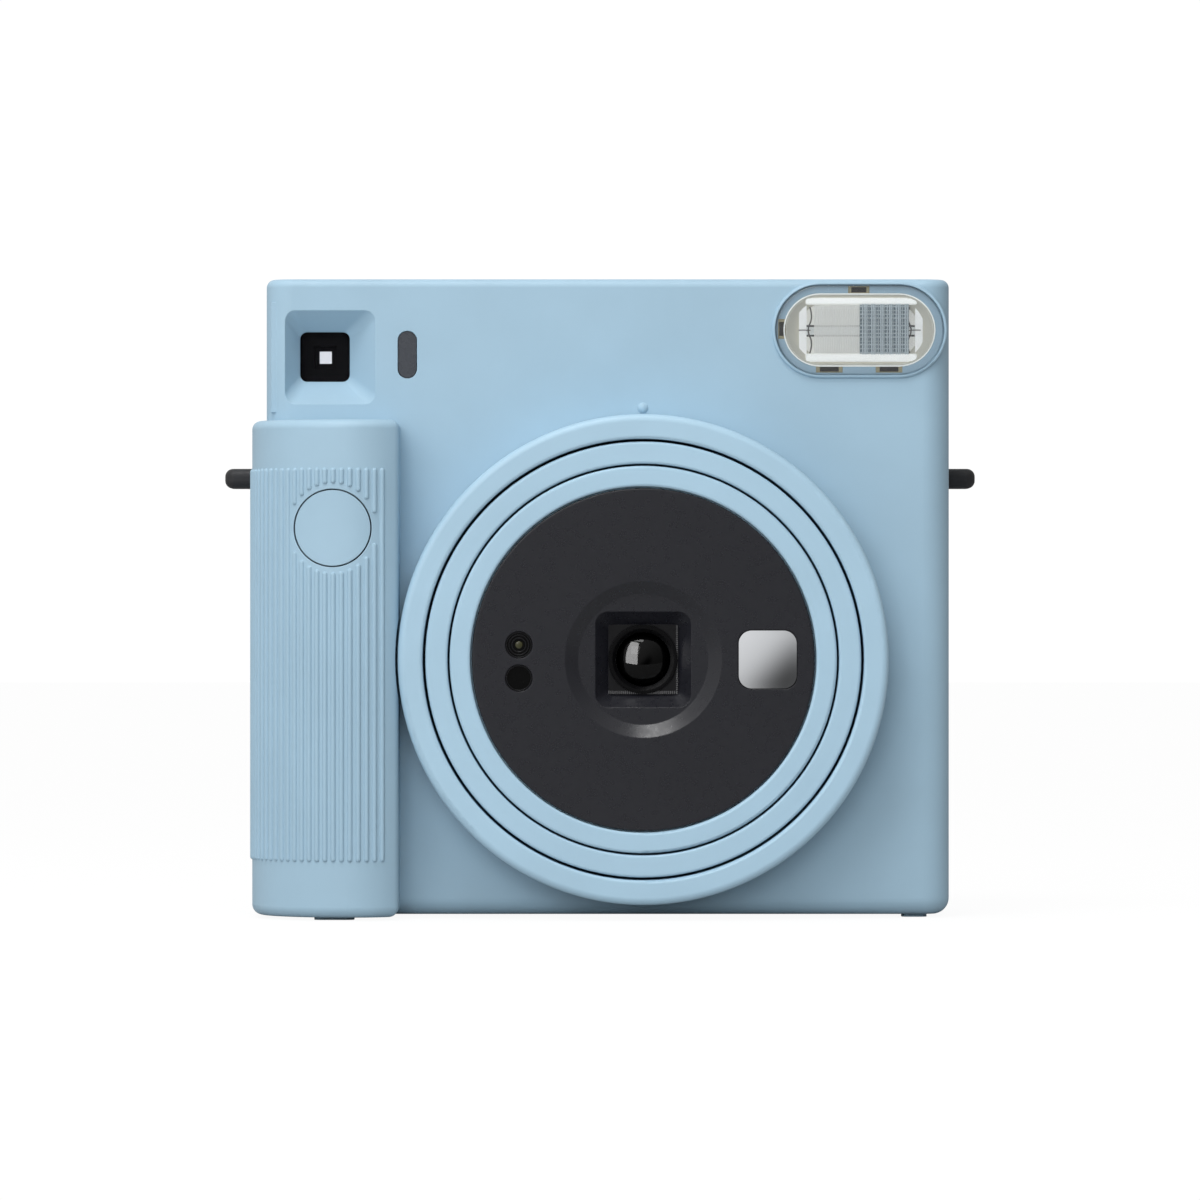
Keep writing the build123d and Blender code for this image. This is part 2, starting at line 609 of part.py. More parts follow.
def make_eyepiece_frame():
    centre = Pos(FINDER_X, FINDER_Z)
    outer = RectangleRounded(EYEPIECE_SIZE[0] - FIT_GAP, EYEPIECE_SIZE[1] - FIT_GAP, EYEPIECE_CORNER)
    frame = along_y(centre * outer, FINDER_BACK, BODY_BACK)
    frame -= along_y(centre * RectangleRounded(EYEPIECE_OPENING, EYEPIECE_OPENING, 1.0), FINDER_BACK, FAR)
    seat = EYEPIECE_LENS + 2 * FIT_GAP
    frame -= along_y(centre * RectangleRounded(seat, seat, 1.2), FINDER_BACK, FINDER_BACK + 1.0)
    rim = frame.faces().sort_by(Axis.Y)[-1].inner_wires()[0].edges()
    return chamfer(rim, 0.8)


def make_eyepiece_lens():
    lens = RectangleRounded(EYEPIECE_LENS, EYEPIECE_LENS, 1.1)
    return along_y(Pos(FINDER_X, FINDER_Z) * lens, FINDER_BACK, FINDER_BACK + 0.95)


def make_light_window():
    return along_y(Pos(*PILL_CENTRE) * SlotOverall(PILL_SIZE[1], PILL_SIZE[0], rotation=90), *PILL_Y)


# Flash

def make_flash_window():
    cover = along_y(Pos(FLASH_X, FLASH_Z) * stadium(FLASH_COVER), FLASH_COVER_FRONT, FLASH_SEAT_Y)
    return fillet(cover.faces().sort_by(Axis.Y)[0].edges(), 0.4)


def make_flash_reflector():
    reflector = block(REFLECTOR_X, REFLECTOR_Y, REFLECTOR_Z)
    trough = Pos(REFLECTOR_Y[0], FLASH_Z) * Ellipse(*REFLECTOR_RADII)
    reflector -= along_x(trough, REFLECTOR_X[0] + REFLECTOR_END_WALL, REFLECTOR_X[1] - REFLECTOR_END_WALL)
    return reflector - rod_x(TUBE_Y, FLASH_Z, TUBE_RADIUS + 0.05, *REFLECTOR_X)


def make_flash_tube():
    return rod_x(TUBE_Y, FLASH_Z, TUBE_RADIUS, REFLECTOR_X[0] - 0.8, REFLECTOR_X[1] + 0.8)


def make_flash_clips():
    clips = []
    for x, z, width, height in FLASH_CLIPS:
        clips.append(along_y(Pos(x, z) * Rectangle(width - FIT_GAP, height - FIT_GAP), *CLIP_Y))
    return Compound(children=clips)


def make_flash_board():
    board = block((33.0, 62.5), (-2.6, -1.4), (97.0, 116.0))
    board += block((52.0, 58.0), (-3.9, -2.6), (98.0, 102.0))
    return board + rod_y(40.0, 100.5, 2.2, -6.5, -2.6)


def make_flash_capacitor():
    can = rod_z(-50.0, -19.0, 6.0, 14.0, 48.0)
    return fillet(can.edges(), 0.8)


def make_main_board():
    board = block((58.0, 59.2), (-8.0, 22.0), (8.0, 92.0))
    for bottom, top in ((20.0, 34.0), (48.0, 56.0), (70.0, 76.0)):
        board += block((56.4, 58.0), (-2.0, 10.0), (bottom, top))
    return board


# Lens and shutter

def make_lens_ring():
    ring = lens_ring_solid(RING_INNER, RING_OUTER, RING_FRONT, RING_BACK)
    ring += lens_ring_solid(RING_INNER, RING_SPIGOT_OUTER, RING_BACK, RING_SPIGOT_BACK)
    ring = fillet(ring_edges_at(ring, RING_FRONT, RING_OUTER), 1.3)
    return fillet(ring_edges_at(ring, RING_FRONT, RING_INNER), 0.6)


def make_ring_clip():
    clip = lens_ring_solid(RING_SPIGOT_OUTER, CLIP_OUTER, RING_SPIGOT_BACK - 0.95, RING_SPIGOT_BACK)
    return clip - block((LENS_X - 3.0, LENS_X + 3.0), (-FAR, FAR), (0, LENS_Z))


def guide_places(radius, first_angle):
    """X and Z of three guide rods spaced round the lens axis."""
    angles = [radians(first_angle + 120 * turn) for turn in range(3)]
    return [(LENS_X + radius * cos(angle), LENS_Z + radius * sin(angle)) for angle in angles]


OUTER_GUIDES = guide_places(sum(OUTER_BARREL) / 2, 90)
INNER_GUIDES = guide_places(sum(INNER_BARREL) / 2, 30)


def cut_guide_bores(barrel, places):
    for x, z in places:
        barrel -= rod_y(x, z, GUIDE_BORE_RADIUS, GUIDE_ROD_FRONT - 0.4, 0)
    return barrel


def make_outer_barrel():
    barrel = lens_ring_solid(*OUTER_BARREL, BARREL_FRONT, BARREL_BACK)
    for radius in OUTER_BARREL:
        barrel = fillet(ring_edges_at(barrel, BARREL_FRONT, radius), EDGE_ROUNDING)
    return cut_guide_bores(barrel, OUTER_GUIDES)


def make_inner_barrel():
    barrel = lens_ring_solid(*INNER_BARREL, BARREL_FRONT, BARREL_BACK)
    for radius in INNER_BARREL:
        barrel = fillet(ring_edges_at(barrel, BARREL_FRONT, radius), EDGE_ROUNDING)
    barrel += lens_ring_solid(26.0, INNER_BARREL[0] + 0.5, FACE_BACK, FACE_BACK + 1.2)
    return cut_guide_bores(barrel, INNER_GUIDES)


def make_barrel_guide():
    front, back = GUIDE_PLATE
    outline = RectangleRounded(GUIDE_PLATE_SIZE, GUIDE_PLATE_SIZE, 6.0)
    plate = along_y(Pos(LENS_X, LENS_Z) * outline, front, back)
    plate -= lens_rod(31.5, front, back)
    for x, z in OUTER_GUIDES + INNER_GUIDES:
        plate += rod_y(x, z, GUIDE_ROD_RADIUS, GUIDE_ROD_FRONT, back)
    for side_x in (-GUIDE_POST_OFFSET, GUIDE_POST_OFFSET):
        for side_z in (-GUIDE_POST_OFFSET, GUIDE_POST_OFFSET):
            place = (LENS_X + side_x, LENS_Z + side_z)
            plate += rod_y(*place, GUIDE_POST_RADIUS, BODY_FRONT + WALL, back)
    return plate


def make_lens_face():
    face = lens_rod(FACE_RADIUS, FACE_FRONT, FACE_BACK) + lens_rod(BOSS_RADIUS, FACE_FRONT, HOUSING_FRONT)
    face = fillet(ring_edges_at(face, FACE_FRONT, FACE_RADIUS), 0.3)
    floor = FACE_FRONT + COUNTERSINK_DEPTH
    axis = Plane(origin=(LENS_X, FACE_FRONT, LENS_Z), z_dir=(0, 1, 0))
    cone = Cone(COUNTERSINK_FRONT_RADIUS, COUNTERSINK_BACK_RADIUS, COUNTERSINK_DEPTH,
                align=(Align.CENTER, Align.CENTER, Align.MIN))
    face -= axis * cone
    centre = (LENS_X, LENS_Z)
    face -= tapered(centre, (RECESS_FRONT_SIZE, RECESS_FRONT_SIZE), RECESS_CORNER, floor,
                    centre, (RECESS_BACK_SIZE, RECESS_BACK_SIZE), RECESS_CORNER / 2, floor + RECESS_DEPTH)
    face -= lens_rod(BEZEL_RADIUS + 0.02, floor, 0)
    for z in SENSOR_HEIGHTS:
        face -= rod_y(SENSOR_X, z, SENSOR_HOLE_RADIUS, -FAR, 0)
    pocket = RectangleRounded(MIRROR_SIZE + 0.3, MIRROR_SIZE + 0.3, MIRROR_CORNER)
    return face - along_y(Pos(MIRROR_X, LENS_Z) * pocket, -FAR, FACE_FRONT + 1.2)


def make_selfie_mirror():
    mirror = along_y(Pos(MIRROR_X, LENS_Z) * RectangleRounded(MIRROR_SIZE, MIRROR_SIZE, MIRROR_CORNER),
                     FACE_FRONT - 1.0, FACE_FRONT + 1.2)
    bulge = Pos(MIRROR_X, FACE_FRONT - 0.4 + MIRROR_BULGE_RADIUS, LENS_Z) * Sphere(MIRROR_BULGE_RADIUS)
    return mirror & bulge


def make_lens_bezel():
    inner = FRONT_LENS_RADIUS + 0.03
    bezel = lens_ring_solid(inner, BEZEL_RADIUS, BEZEL_FRONT, HOUSING_FRONT)
    return chamfer(ring_edges_at(bezel, BEZEL_FRONT, inner), 0.7)


def make_front_lens():
    ball = Pos(LENS_X, -15.9, LENS_Z) * Sphere(7.0)
    return lens_rod(FRONT_LENS_RADIUS, -23.4, HOUSING_FRONT) & ball


def make_rear_lens():
    ball = Pos(LENS_X, -24.3, LENS_Z) * Sphere(10.0)
    return lens_rod(REAR_LENS_RADIUS, -16.2, -14.0) & ball


def make_sensor_windows():
    windows = []
    for z in SENSOR_HEIGHTS:
        windows.append(rod_y(SENSOR_X, z, SENSOR_HOLE_RADIUS - 0.08, FACE_FRONT + 0.6, FACE_BACK))
    return Compound(children=windows)


def make_shutter_housing():
    housing = lens_ring_solid(APERTURE_RADIUS, HOUSING_RADIUS, HOUSING_FRONT, HOUSING_FLOOR)
    housing += lens_ring_solid(HOUSING_RADIUS - 1.2, HOUSING_RADIUS, HOUSING_FLOOR, HOUSING_LID)
    housing += lens_ring_solid(REAR_LENS_RADIUS + 0.02, HOUSING_RADIUS, HOUSING_LID, HOUSING_BACK)
    for side in (-1, 1):
        housing += rod_y(LENS_X + side * BLADE_PIVOT, LENS_Z, BLADE_PIN_RADIUS, HOUSING_FLOOR, HOUSING_LID)
    return housing


def make_shutter_blade(side, front):
    """A blade that hangs over the aperture from the pivot on one side."""
    pivot_x = LENS_X + side * BLADE_PIVOT
    back = front + BLADE_THICKNESS
    blade = lens_rod(BLADE_RADIUS, front, back)
    blade += block(sorted((LENS_X, pivot_x)), (front, back), (LENS_Z - 1.6, LENS_Z + 1.6))
    blade += rod_y(pivot_x, LENS_Z, 2.0, front, back)
    return blade - rod_y(pivot_x, LENS_Z, BLADE_PIN_RADIUS + 0.06, front, back)


# Shutter button

def make_shutter_button(mass):
    button = rod_y(BUTTON_X, BUTTON_Z, BUTTON_RADIUS, -FAR, BUTTON_FLANGE_Y) & mass
    flange_back = BUTTON_FLANGE_Y + 1.0
    button += rod_y(BUTTON_X, BUTTON_Z, BUTTON_RADIUS + BUTTON_FLANGE, BUTTON_FLANGE_Y, flange_back)
    return button + rod_y(BUTTON_X, BUTTON_Z, BUTTON_STEM_RADIUS, flange_back, BUTTON_STEM_BACK)


def make_button_spring():
    height = BODY_FRONT - 2 * SPRING_WIRE_RADIUS - (BUTTON_FLANGE_Y + 1.0)
    centre = (BUTTON_X, BUTTON_FLANGE_Y + 1.0 + SPRING_WIRE_RADIUS, BUTTON_Z)
    path = Helix(height / SPRING_TURNS, height, SPRING_RADIUS, center=centre, direction=(0, 1, 0))
    section = Plane(origin=path @ 0, z_dir=path % 0) * Circle(SPRING_WIRE_RADIUS)
    return sweep(section, path=path)


def make_shutter_switch():
    across = (BUTTON_X - SWITCH_HALF, BUTTON_X + SWITCH_HALF)
    upright = (BUTTON_Z - SWITCH_HALF, BUTTON_Z + SWITCH_HALF)
    switch = block(across, (SWITCH_FRONT, BODY_FRONT), upright)
    return switch + rod_y(BUTTON_X, BUTTON_Z, SWITCH_HALF / 2, SWITCH_FRONT - 0.5, SWITCH_FRONT)


# Film bay and transport

def make_dark_chamber():
    centre = (LENS_X, LENS_Z)
    front = CHAMBER_FRONT
    frame_back = CHAMBER_Y[0] + CHAMBER_FRAME
    mouth = (CHAMBER_MOUTH, CHAMBER_MOUTH)
    gate = (IMAGE_SIZE, IMAGE_SIZE)
    outer_mouth = (CHAMBER_MOUTH + 2 * CHAMBER_WALL, CHAMBER_MOUTH + 2 * CHAMBER_WALL)
    outer_gate = (IMAGE_SIZE + 2 * CHAMBER_WALL, IMAGE_SIZE + 2 * CHAMBER_WALL)
    sides = (frame_back, CHAMBER_Y[1])
    chamber = along_y(Pos(*centre) * RectangleRounded(70.0, 70.0, 4.0), front, front + CHAMBER_WALL)
    chamber += tapered(centre, outer_mouth, 1.0, front, centre, outer_gate, 1.0, CHAMBER_Y[0])
    chamber += block(CHAMBER_X, (CHAMBER_Y[0], frame_back), CHAMBER_Z)
    chamber += block((CHAMBER_X[0], CHAMBER_X[0] + CHAMBER_WALL), sides, (CHAMBER_Z[0], CHAMBER_LEFT_TOP))
    chamber += block((CHAMBER_X[1] - CHAMBER_WALL, CHAMBER_X[1]), sides, CHAMBER_Z)
    chamber += block(CHAMBER_X, sides, (CHAMBER_Z[0], CHAMBER_Z[0] + CHAMBER_WALL))
    chamber -= tapered(centre, mouth, 0.8, front, centre, gate, 0.8, frame_back)
    return chamber - block((CHAMBER_X[1] - 2.0, CHAMBER_X[1] + 1.0), (10.5, 14.5), (13.0, 23.0))


def make_film_pack_case():
    case = block(PACK_X, PACK_Y, PACK_Z)
    case -= block(
        (PACK_X[0] + PACK_WALL, PACK_X[1] - PACK_WALL),
        (PACK_Y[0] + PACK_FRONT_WALL, PACK_Y[1] - PACK_WALL),
        (PACK_Z[0] + PACK_WALL, PACK_Z[1] - PACK_WALL),
    )
    window = Rectangle(IMAGE_SIZE + 2.0, IMAGE_SIZE + 2.0)
    case -= along_y(Pos(LENS_X, LENS_Z) * window, PACK_Y[0], PACK_Y[0] + 2.0)
    slot_front = PACK_Y[0] + PACK_FRONT_WALL
    case -= block(EXIT_SLOT_X, (slot_front, slot_front + 1.0), (90.0, 2 * FAR))
    for x in PAD_LEFT_EDGES:
        case -= block((x, x + PAD_OPENING), (22.0, FAR), (30.0, 66.0))
    return case


def make_film_sheets():
    sheets = []
    across = (LENS_X - FILM_SIZE[0] / 2, LENS_X + FILM_SIZE[0] / 2)
    upright = (FILM_TOP - FILM_SIZE[1], FILM_TOP)
    for index in range(SHEET_COUNT):
        y = FILM_PLANE_Y + index * SHEET_PITCH
        sheets.append(block(across, (y, y + SHEET_THICKNESS), upright))
    return Compound(children=sheets)


def gear_outline(teeth, phase):
    """Spur gear outline with involute flanks and one tooth centred on the phase angle in radians."""
    pitch_radius = GEAR_MODULE * teeth / 2
    base_radius = pitch_radius * cos(PRESSURE_ANGLE)
    root = pitch_radius - DEDENDUM
    tip = pitch_radius + ADDENDUM
    at_pitch = pi / (2 * teeth) - BACKLASH / (2 * pitch_radius) + tan(PRESSURE_ANGLE) - PRESSURE_ANGLE
    flank = []
    for step in range(5):
        radius = root + (tip - root) * step / 4
        roll = acos(min(1.0, base_radius / radius))
        flank.append((radius, at_pitch - tan(roll) + roll))
    points = []
    for tooth in range(teeth):
        centre = phase + 2 * pi * tooth / teeth
        for radius, half in flank:
            points.append((radius * cos(centre - half), radius * sin(centre - half)))
        for radius, half in reversed(flank):
            points.append((radius * cos(centre + half), radius * sin(centre + half)))
    return make_face(Polyline(*points, close=True))


def meshing_phase(direction, teeth, phase, next_teeth):
    """Phase that puts the next gear in mesh with this one, direction being from this one to it."""
    ratio = teeth / next_teeth
    return direction + pi - pi / next_teeth - ratio * (phase - direction)


NIP_DIRECTION = 0.0
WHEEL_DIRECTION = atan2(WHEEL_Z - ROLLER_Z, WHEEL_Y - DRIVE_ROLLER_Y)
MOTOR_DIRECTION = atan2(MOTOR_Z - WHEEL_Z, MOTOR_Y - WHEEL_Y)
PINCH_PHASE = meshing_phase(NIP_DIRECTION, ROLLER_TEETH, 0.0, ROLLER_TEETH)
SMALL_PHASE = meshing_phase(WHEEL_DIRECTION, ROLLER_TEETH, 0.0, SMALL_TEETH)
PINION_PHASE = meshing_phase(MOTOR_DIRECTION, WHEEL_TEETH, 0.0, PINION_TEETH)


def make_roller(y, phase):
    roller = rod_x(y, ROLLER_Z, ROLLER_RADIUS, *ROLLER_X)
    roller += rod_x(y, ROLLER_Z, ROLLER_SHAFT_RADIUS, ROLLER_GEAR_X[0], 48.0)
    return roller + along_x(Pos(y, ROLLER_Z) * gear_outline(ROLLER_TEETH, phase), *ROLLER_GEAR_X)


def make_reduction_gear():
    gear = along_x(Pos(WHEEL_Y, WHEEL_Z) * gear_outline(WHEEL_TEETH, 0.0), *WHEEL_GEAR_X)
    gear += along_x(Pos(WHEEL_Y, WHEEL_Z) * gear_outline(SMALL_TEETH, SMALL_PHASE), *ROLLER_GEAR_X)
    gear += rod_x(WHEEL_Y, WHEEL_Z, 3.0, WHEEL_GEAR_X[1], ROLLER_GEAR_X[0])
    return gear - rod_x(WHEEL_Y, WHEEL_Z, WHEEL_SHAFT_RADIUS + 0.05, -FAR, FAR)


def make_motor_pinion():
    pinion = along_x(Pos(MOTOR_Y, MOTOR_Z) * gear_outline(PINION_TEETH, PINION_PHASE), *WHEEL_GEAR_X)
    return pinion + rod_x(MOTOR_Y, MOTOR_Z, MOTOR_SHAFT_RADIUS, MOTOR_X[1] - 2.0, WHEEL_GEAR_X[0])


def make_motor():
    flats = (MOTOR_Y - MOTOR_FLAT, MOTOR_Y + MOTOR_FLAT)
    motor = rod_x(MOTOR_Y, MOTOR_Z, MOTOR_RADIUS, *MOTOR_X) & block(MOTOR_X, flats, (FAR / 2, FAR))
    motor += rod_x(MOTOR_Y, MOTOR_Z, MOTOR_NOSE_RADIUS, MOTOR_X[1], MOTOR_X[1] + 0.2)
    return motor - rod_x(MOTOR_Y, MOTOR_Z, MOTOR_SHAFT_RADIUS + 0.05, MOTOR_X[1] - 2.4, MOTOR_X[1] + 1.0)


def make_gear_plate():
    plate = block(GEAR_PLATE_X, (-3.0, 17.0), (81.0, 104.0))
    return plate - rod_x(MOTOR_Y, MOTOR_Z, 4.5, -39.0, -37.0)


def make_roller_bracket():
    left_cheek = (BRACKET_X[0], BRACKET_X[0] + BRACKET_WALL)
    right_cheek = (BRACKET_X[1] - BRACKET_WALL, BRACKET_X[1])
    bracket = block(BRACKET_X, (BRACKET_Y[0], BRACKET_Y[0] + BRACKET_WALL), BRACKET_Z)
    bracket += block(left_cheek, BRACKET_Y, BRACKET_Z)
    bracket += block(left_cheek, (-2.0, 7.0), (94.0, BRACKET_Z[0]))
    bracket += block(right_cheek, BRACKET_Y, BRACKET_Z)
    for y in (DRIVE_ROLLER_Y, PINCH_ROLLER_Y):
        bracket -= rod_x(y, ROLLER_Z, ROLLER_SHAFT_RADIUS + 0.06, -FAR, FAR)
    return bracket + rod_x(WHEEL_Y, WHEEL_Z, WHEEL_SHAFT_RADIUS, GEAR_PLATE_X[1], left_cheek[1])


def make_film_claw():
    return block((50.0, 51.6), (11.0, 14.0), (14.0, 40.0)) + block((47.9, 50.0), (11.0, 14.0), (14.0, 16.0))


# Power

def make_battery_tray():
    outside_y = (BATTERY_BAY_Y[0] - TRAY_WALL, BATTERY_BAY_Y[1] + TRAY_WALL)
    outside_z = (BATTERY_BAY_Z[0] - TRAY_WALL, BATTERY_BAY_Z[1] + TRAY_WALL)
    tray = block(TRAY_X, outside_y, outside_z)
    return tray - block((-FAR, TRAY_X[1] - 1.0), BATTERY_BAY_Y, BATTERY_BAY_Z)


def make_battery_cells():
    cells = []
    for index in range(2):
        bottom = CELL_BOTTOM + index * (CELL_LENGTH + CELL_GAP)
        cells.append(fillet(rod_z(CELL_X, CELL_Y, CELL_RADIUS, bottom, bottom + CELL_LENGTH).edges(), 0.6))
    return Compound(children=cells)


def make_battery_contacts():
    plate = Pos(CELL_X + 0.5, CELL_Y) * Rectangle(CONTACT_SIZE, CONTACT_SIZE)
    bottom = BATTERY_BAY_Z[0] + CONTACT_THICKNESS
    top = BATTERY_BAY_Z[1] - CONTACT_THICKNESS
    lower = along_z(plate, BATTERY_BAY_Z[0], bottom) + rod_z(CELL_X, CELL_Y, 2.5, bottom, bottom + 1.2)
    upper = along_z(plate, top, BATTERY_BAY_Z[1]) + rod_z(CELL_X, CELL_Y, 2.5, top - 1.0, top)
    return Compound(children=[lower, upper])


def make_battery_door():
    plate_y = (BATTERY_DOOR_Y[0], BATTERY_HINGE_Y - KNUCKLE_CLEARANCE + 0.4)
    door = block((SIDE_X, BATTERY_DOOR_INSIDE), plate_y, BATTERY_DOOR_Z)
    for bottom, top in BATTERY_KNUCKLES:
        door += block((SIDE_X, BATTERY_DOOR_INSIDE), (18.0, BATTERY_HINGE_Y), (bottom, top))
        door += rod_z(BATTERY_HINGE_X, BATTERY_HINGE_Y, KNUCKLE_RADIUS, bottom, top)
    door -= rod_z(BATTERY_HINGE_X, BATTERY_HINGE_Y, HINGE_BORE_RADIUS, 0, FAR)
    for index in range(10, 19):
        place = rib_place(-index * RIB_PITCH)
        door += make_rib(place, BATTERY_DOOR_Z[0] + 1.3, BATTERY_DOOR_Z[1] - 1.3)
    return door


# Back door and counter

def pack_window_slot(inset, front, back):
    """The upright slot of the film pack window, set in from its opening."""
    width, height = PACK_WINDOW_SIZE
    slot = SlotOverall(height - inset, width - inset, rotation=90)
    return along_y(Pos(*PACK_WINDOW) * slot, front, back)


def make_back_door():
    door = block((DOOR_HINGE_X + KNUCKLE_CLEARANCE - 0.4, DOOR_X[1]), (DOOR_INSIDE, BODY_BACK), DOOR_Z)
    door = fillet(door.faces().sort_by(Axis.Y)[-1].edges(), 0.5)
    for bottom, top in DOOR_KNUCKLES:
        door += block((DOOR_HINGE_X, -30.0), (DOOR_INSIDE, DOOR_HINGE_Y + KNUCKLE_RADIUS), (bottom, top))
        door += rod_z(DOOR_HINGE_X, DOOR_HINGE_Y, KNUCKLE_RADIUS, bottom, top)
    door -= rod_z(DOOR_HINGE_X, DOOR_HINGE_Y, HINGE_BORE_RADIUS, 0, FAR)
    well_x = (LATCH_X[0] - 1.0, LATCH_X[1] + 1.0)
    well_z = (LATCH_Z[0] - 1.0, LATCH_Z[1] + LATCH_TRAVEL + 1.5)
    door -= block(well_x, (BODY_BACK - LATCH_DEPTH, FAR), well_z)
    neck_x = (LATCH_NECK_X[0] - DOOR_GAP, LATCH_NECK_X[1] + DOOR_GAP)
    neck_z = (LATCH_NECK_Z[0] - DOOR_GAP, LATCH_NECK_Z[1] + LATCH_TRAVEL + 2 * DOOR_GAP)
    door -= block(neck_x, (DOOR_REBATE_FRONT, FAR), neck_z)
    return door - pack_window_slot(0, DOOR_REBATE_FRONT, FAR)


def make_pack_window():
    return pack_window_slot(2 * FIT_GAP, DOOR_INSIDE + FIT_GAP, BODY_BACK - 0.45)


def make_door_inner_panel():
    panel = block((-34.0, 50.0), (PANEL_FRONT, DOOR_INSIDE), (8.0, 98.0))
    return panel - pack_window_slot(0, DOOR_REBATE_FRONT, FAR)


def make_pressure_pads():
    pads = []
    for x in PAD_LEFT_EDGES:
        across = (x + 0.5, x + PAD_OPENING - 0.5)
        pads.append(block(across, (PANEL_FRONT - 0.8, PANEL_FRONT), (31.0, 65.0)))
    return Compound(children=pads)


def make_door_latch():
    latch = block((LATCH_X[0] - 0.4, LATCH_X[1] + 0.4), (BODY_BACK - 0.9, BODY_BACK), LATCH_Z)
    for z in LATCH_GRIP_LINES:
        latch -= block(LATCH_X, (BODY_BACK - 0.3, FAR), (z, z + 0.8))
    back_plate_y = (DOOR_INSIDE - 1.1, DOOR_INSIDE - FIT_GAP)
    latch += block(LATCH_NECK_X, (back_plate_y[1], BODY_BACK - 0.5), LATCH_NECK_Z)
    return latch + block((LATCH_X[0], LATCH_X[1] + 1.0), back_plate_y, LATCH_Z)


def make_hinge_pins():
    door_pin = rod_z(DOOR_HINGE_X, DOOR_HINGE_Y, HINGE_PIN_RADIUS, 10.5, 94.5)
    battery_pin = rod_z(BATTERY_HINGE_X, BATTERY_HINGE_Y, HINGE_PIN_RADIUS, 12.5, 71.5)
    return Compound(children=[door_pin, battery_pin])


def make_counter_dial():
    dial = rod_y(COUNTER_X, COUNTER_Z, COUNTER_RADIUS, *COUNTER_DIAL_Y)
    dial -= rod_y(COUNTER_X, COUNTER_Z, COUNTER_PIN_RADIUS + 0.05, 0, FAR)
    reach = COUNTER_RADIUS + 0.2
    for notch in range(COUNTER_NOTCHES):
        angle = 2 * pi * notch / COUNTER_NOTCHES
        dial -= rod_y(COUNTER_X + reach * cos(angle), COUNTER_Z + reach * sin(angle), 0.5, 0, FAR)
    return dial


def make_counter_window():
    width, height = COUNTER_WINDOW
    window = RectangleRounded(width - FIT_GAP, height - FIT_GAP, COUNTER_WINDOW_CORNER)
    return along_y(Pos(COUNTER_X, COUNTER_WINDOW_Z) * window, 26.9, BODY_BACK - 0.25)


def main():
    os.makedirs("parts", exist_ok=True)
    body = make_body_block()
    interior = make_interior()
    mass = make_grip_mass()
    parts = {
        "front_shell": make_front_shell(body, interior),
        "grip_cover": make_grip_cover(body, mass),
        "rear_shell": make_rear_shell(body, mass, interior),
        "film_exit_trim": make_film_exit_trim(),
        "feet": make_feet(),
        "case_screws": make_case_screws(),
        "strap_lug_left": make_strap_lug(-1, SIDE_X, BODY_LEFT + WALL),
        "strap_lug_right": make_strap_lug(1, BODY_RIGHT, BODY_RIGHT - WALL),
        "finder_window": make_finder_window(),
        "finder_tunnel": make_finder_tunnel(),
        "eyepiece_frame": make_eyepiece_frame(),
        "eyepiece_lens": make_eyepiece_lens(),
        "light_window": make_light_window(),
        "flash_window": make_flash_window(),
        "flash_reflector": make_flash_reflector(),
        "flash_tube": make_flash_tube(),
        "flash_clips": make_flash_clips(),
        "flash_board": make_flash_board(),
        "flash_capacitor": make_flash_capacitor(),
        "main_board": make_main_board(),
        "lens_ring": make_lens_ring(),
        "ring_clip": make_ring_clip(),
        "outer_barrel": make_outer_barrel(),
        "inner_barrel": make_inner_barrel(),
        "barrel_guide": make_barrel_guide(),
        "lens_face": make_lens_face(),
        "selfie_mirror": make_selfie_mirror(),
        "lens_bezel": make_lens_bezel(),
        "front_lens": make_front_lens(),
        "rear_lens": make_rear_lens(),
        "sensor_windows": make_sensor_windows(),
        "shutter_housing": make_shutter_housing(),
        "shutter_blade_front": make_shutter_blade(1, FRONT_BLADE_Y),
        "shutter_blade_rear": make_shutter_blade(-1, REAR_BLADE_Y),
        "shutter_button": make_shutter_button(mass),
        "button_spring": make_button_spring(),
        "shutter_switch": make_shutter_switch(),
        "dark_chamber": make_dark_chamber(),
        "film_pack_case": make_film_pack_case(),
        "film_sheets": make_film_sheets(),
        "drive_roller": make_roller(DRIVE_ROLLER_Y, 0.0),
        "pinch_roller": make_roller(PINCH_ROLLER_Y, PINCH_PHASE),
        "reduction_gear": make_reduction_gear(),
        "motor_pinion": make_motor_pinion(),
        "motor": make_motor(),
        "gear_plate": make_gear_plate(),
        "roller_bracket": make_roller_bracket(),
        "film_claw": make_film_claw(),
        "battery_tray": make_battery_tray(),
        "battery_cells": make_battery_cells(),
        "battery_contacts": make_battery_contacts(),
        "battery_door": make_battery_door(),
        "back_door": make_back_door(),
        "door_inner_panel": make_door_inner_panel(),
        "pack_window": make_pack_window(),
        "pressure_pads": make_pressure_pads(),
        "door_latch": make_door_latch(),
        "hinge_pins": make_hinge_pins(),
        "counter_dial": make_counter_dial(),
        "counter_window": make_counter_window(),
    }
    for name, part in parts.items():
        export_step(part, f"parts/{name}.step")


if __name__ == "__main__":
    main()
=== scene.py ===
import math

import bmesh
import bpy
from mathutils import Matrix, Vector


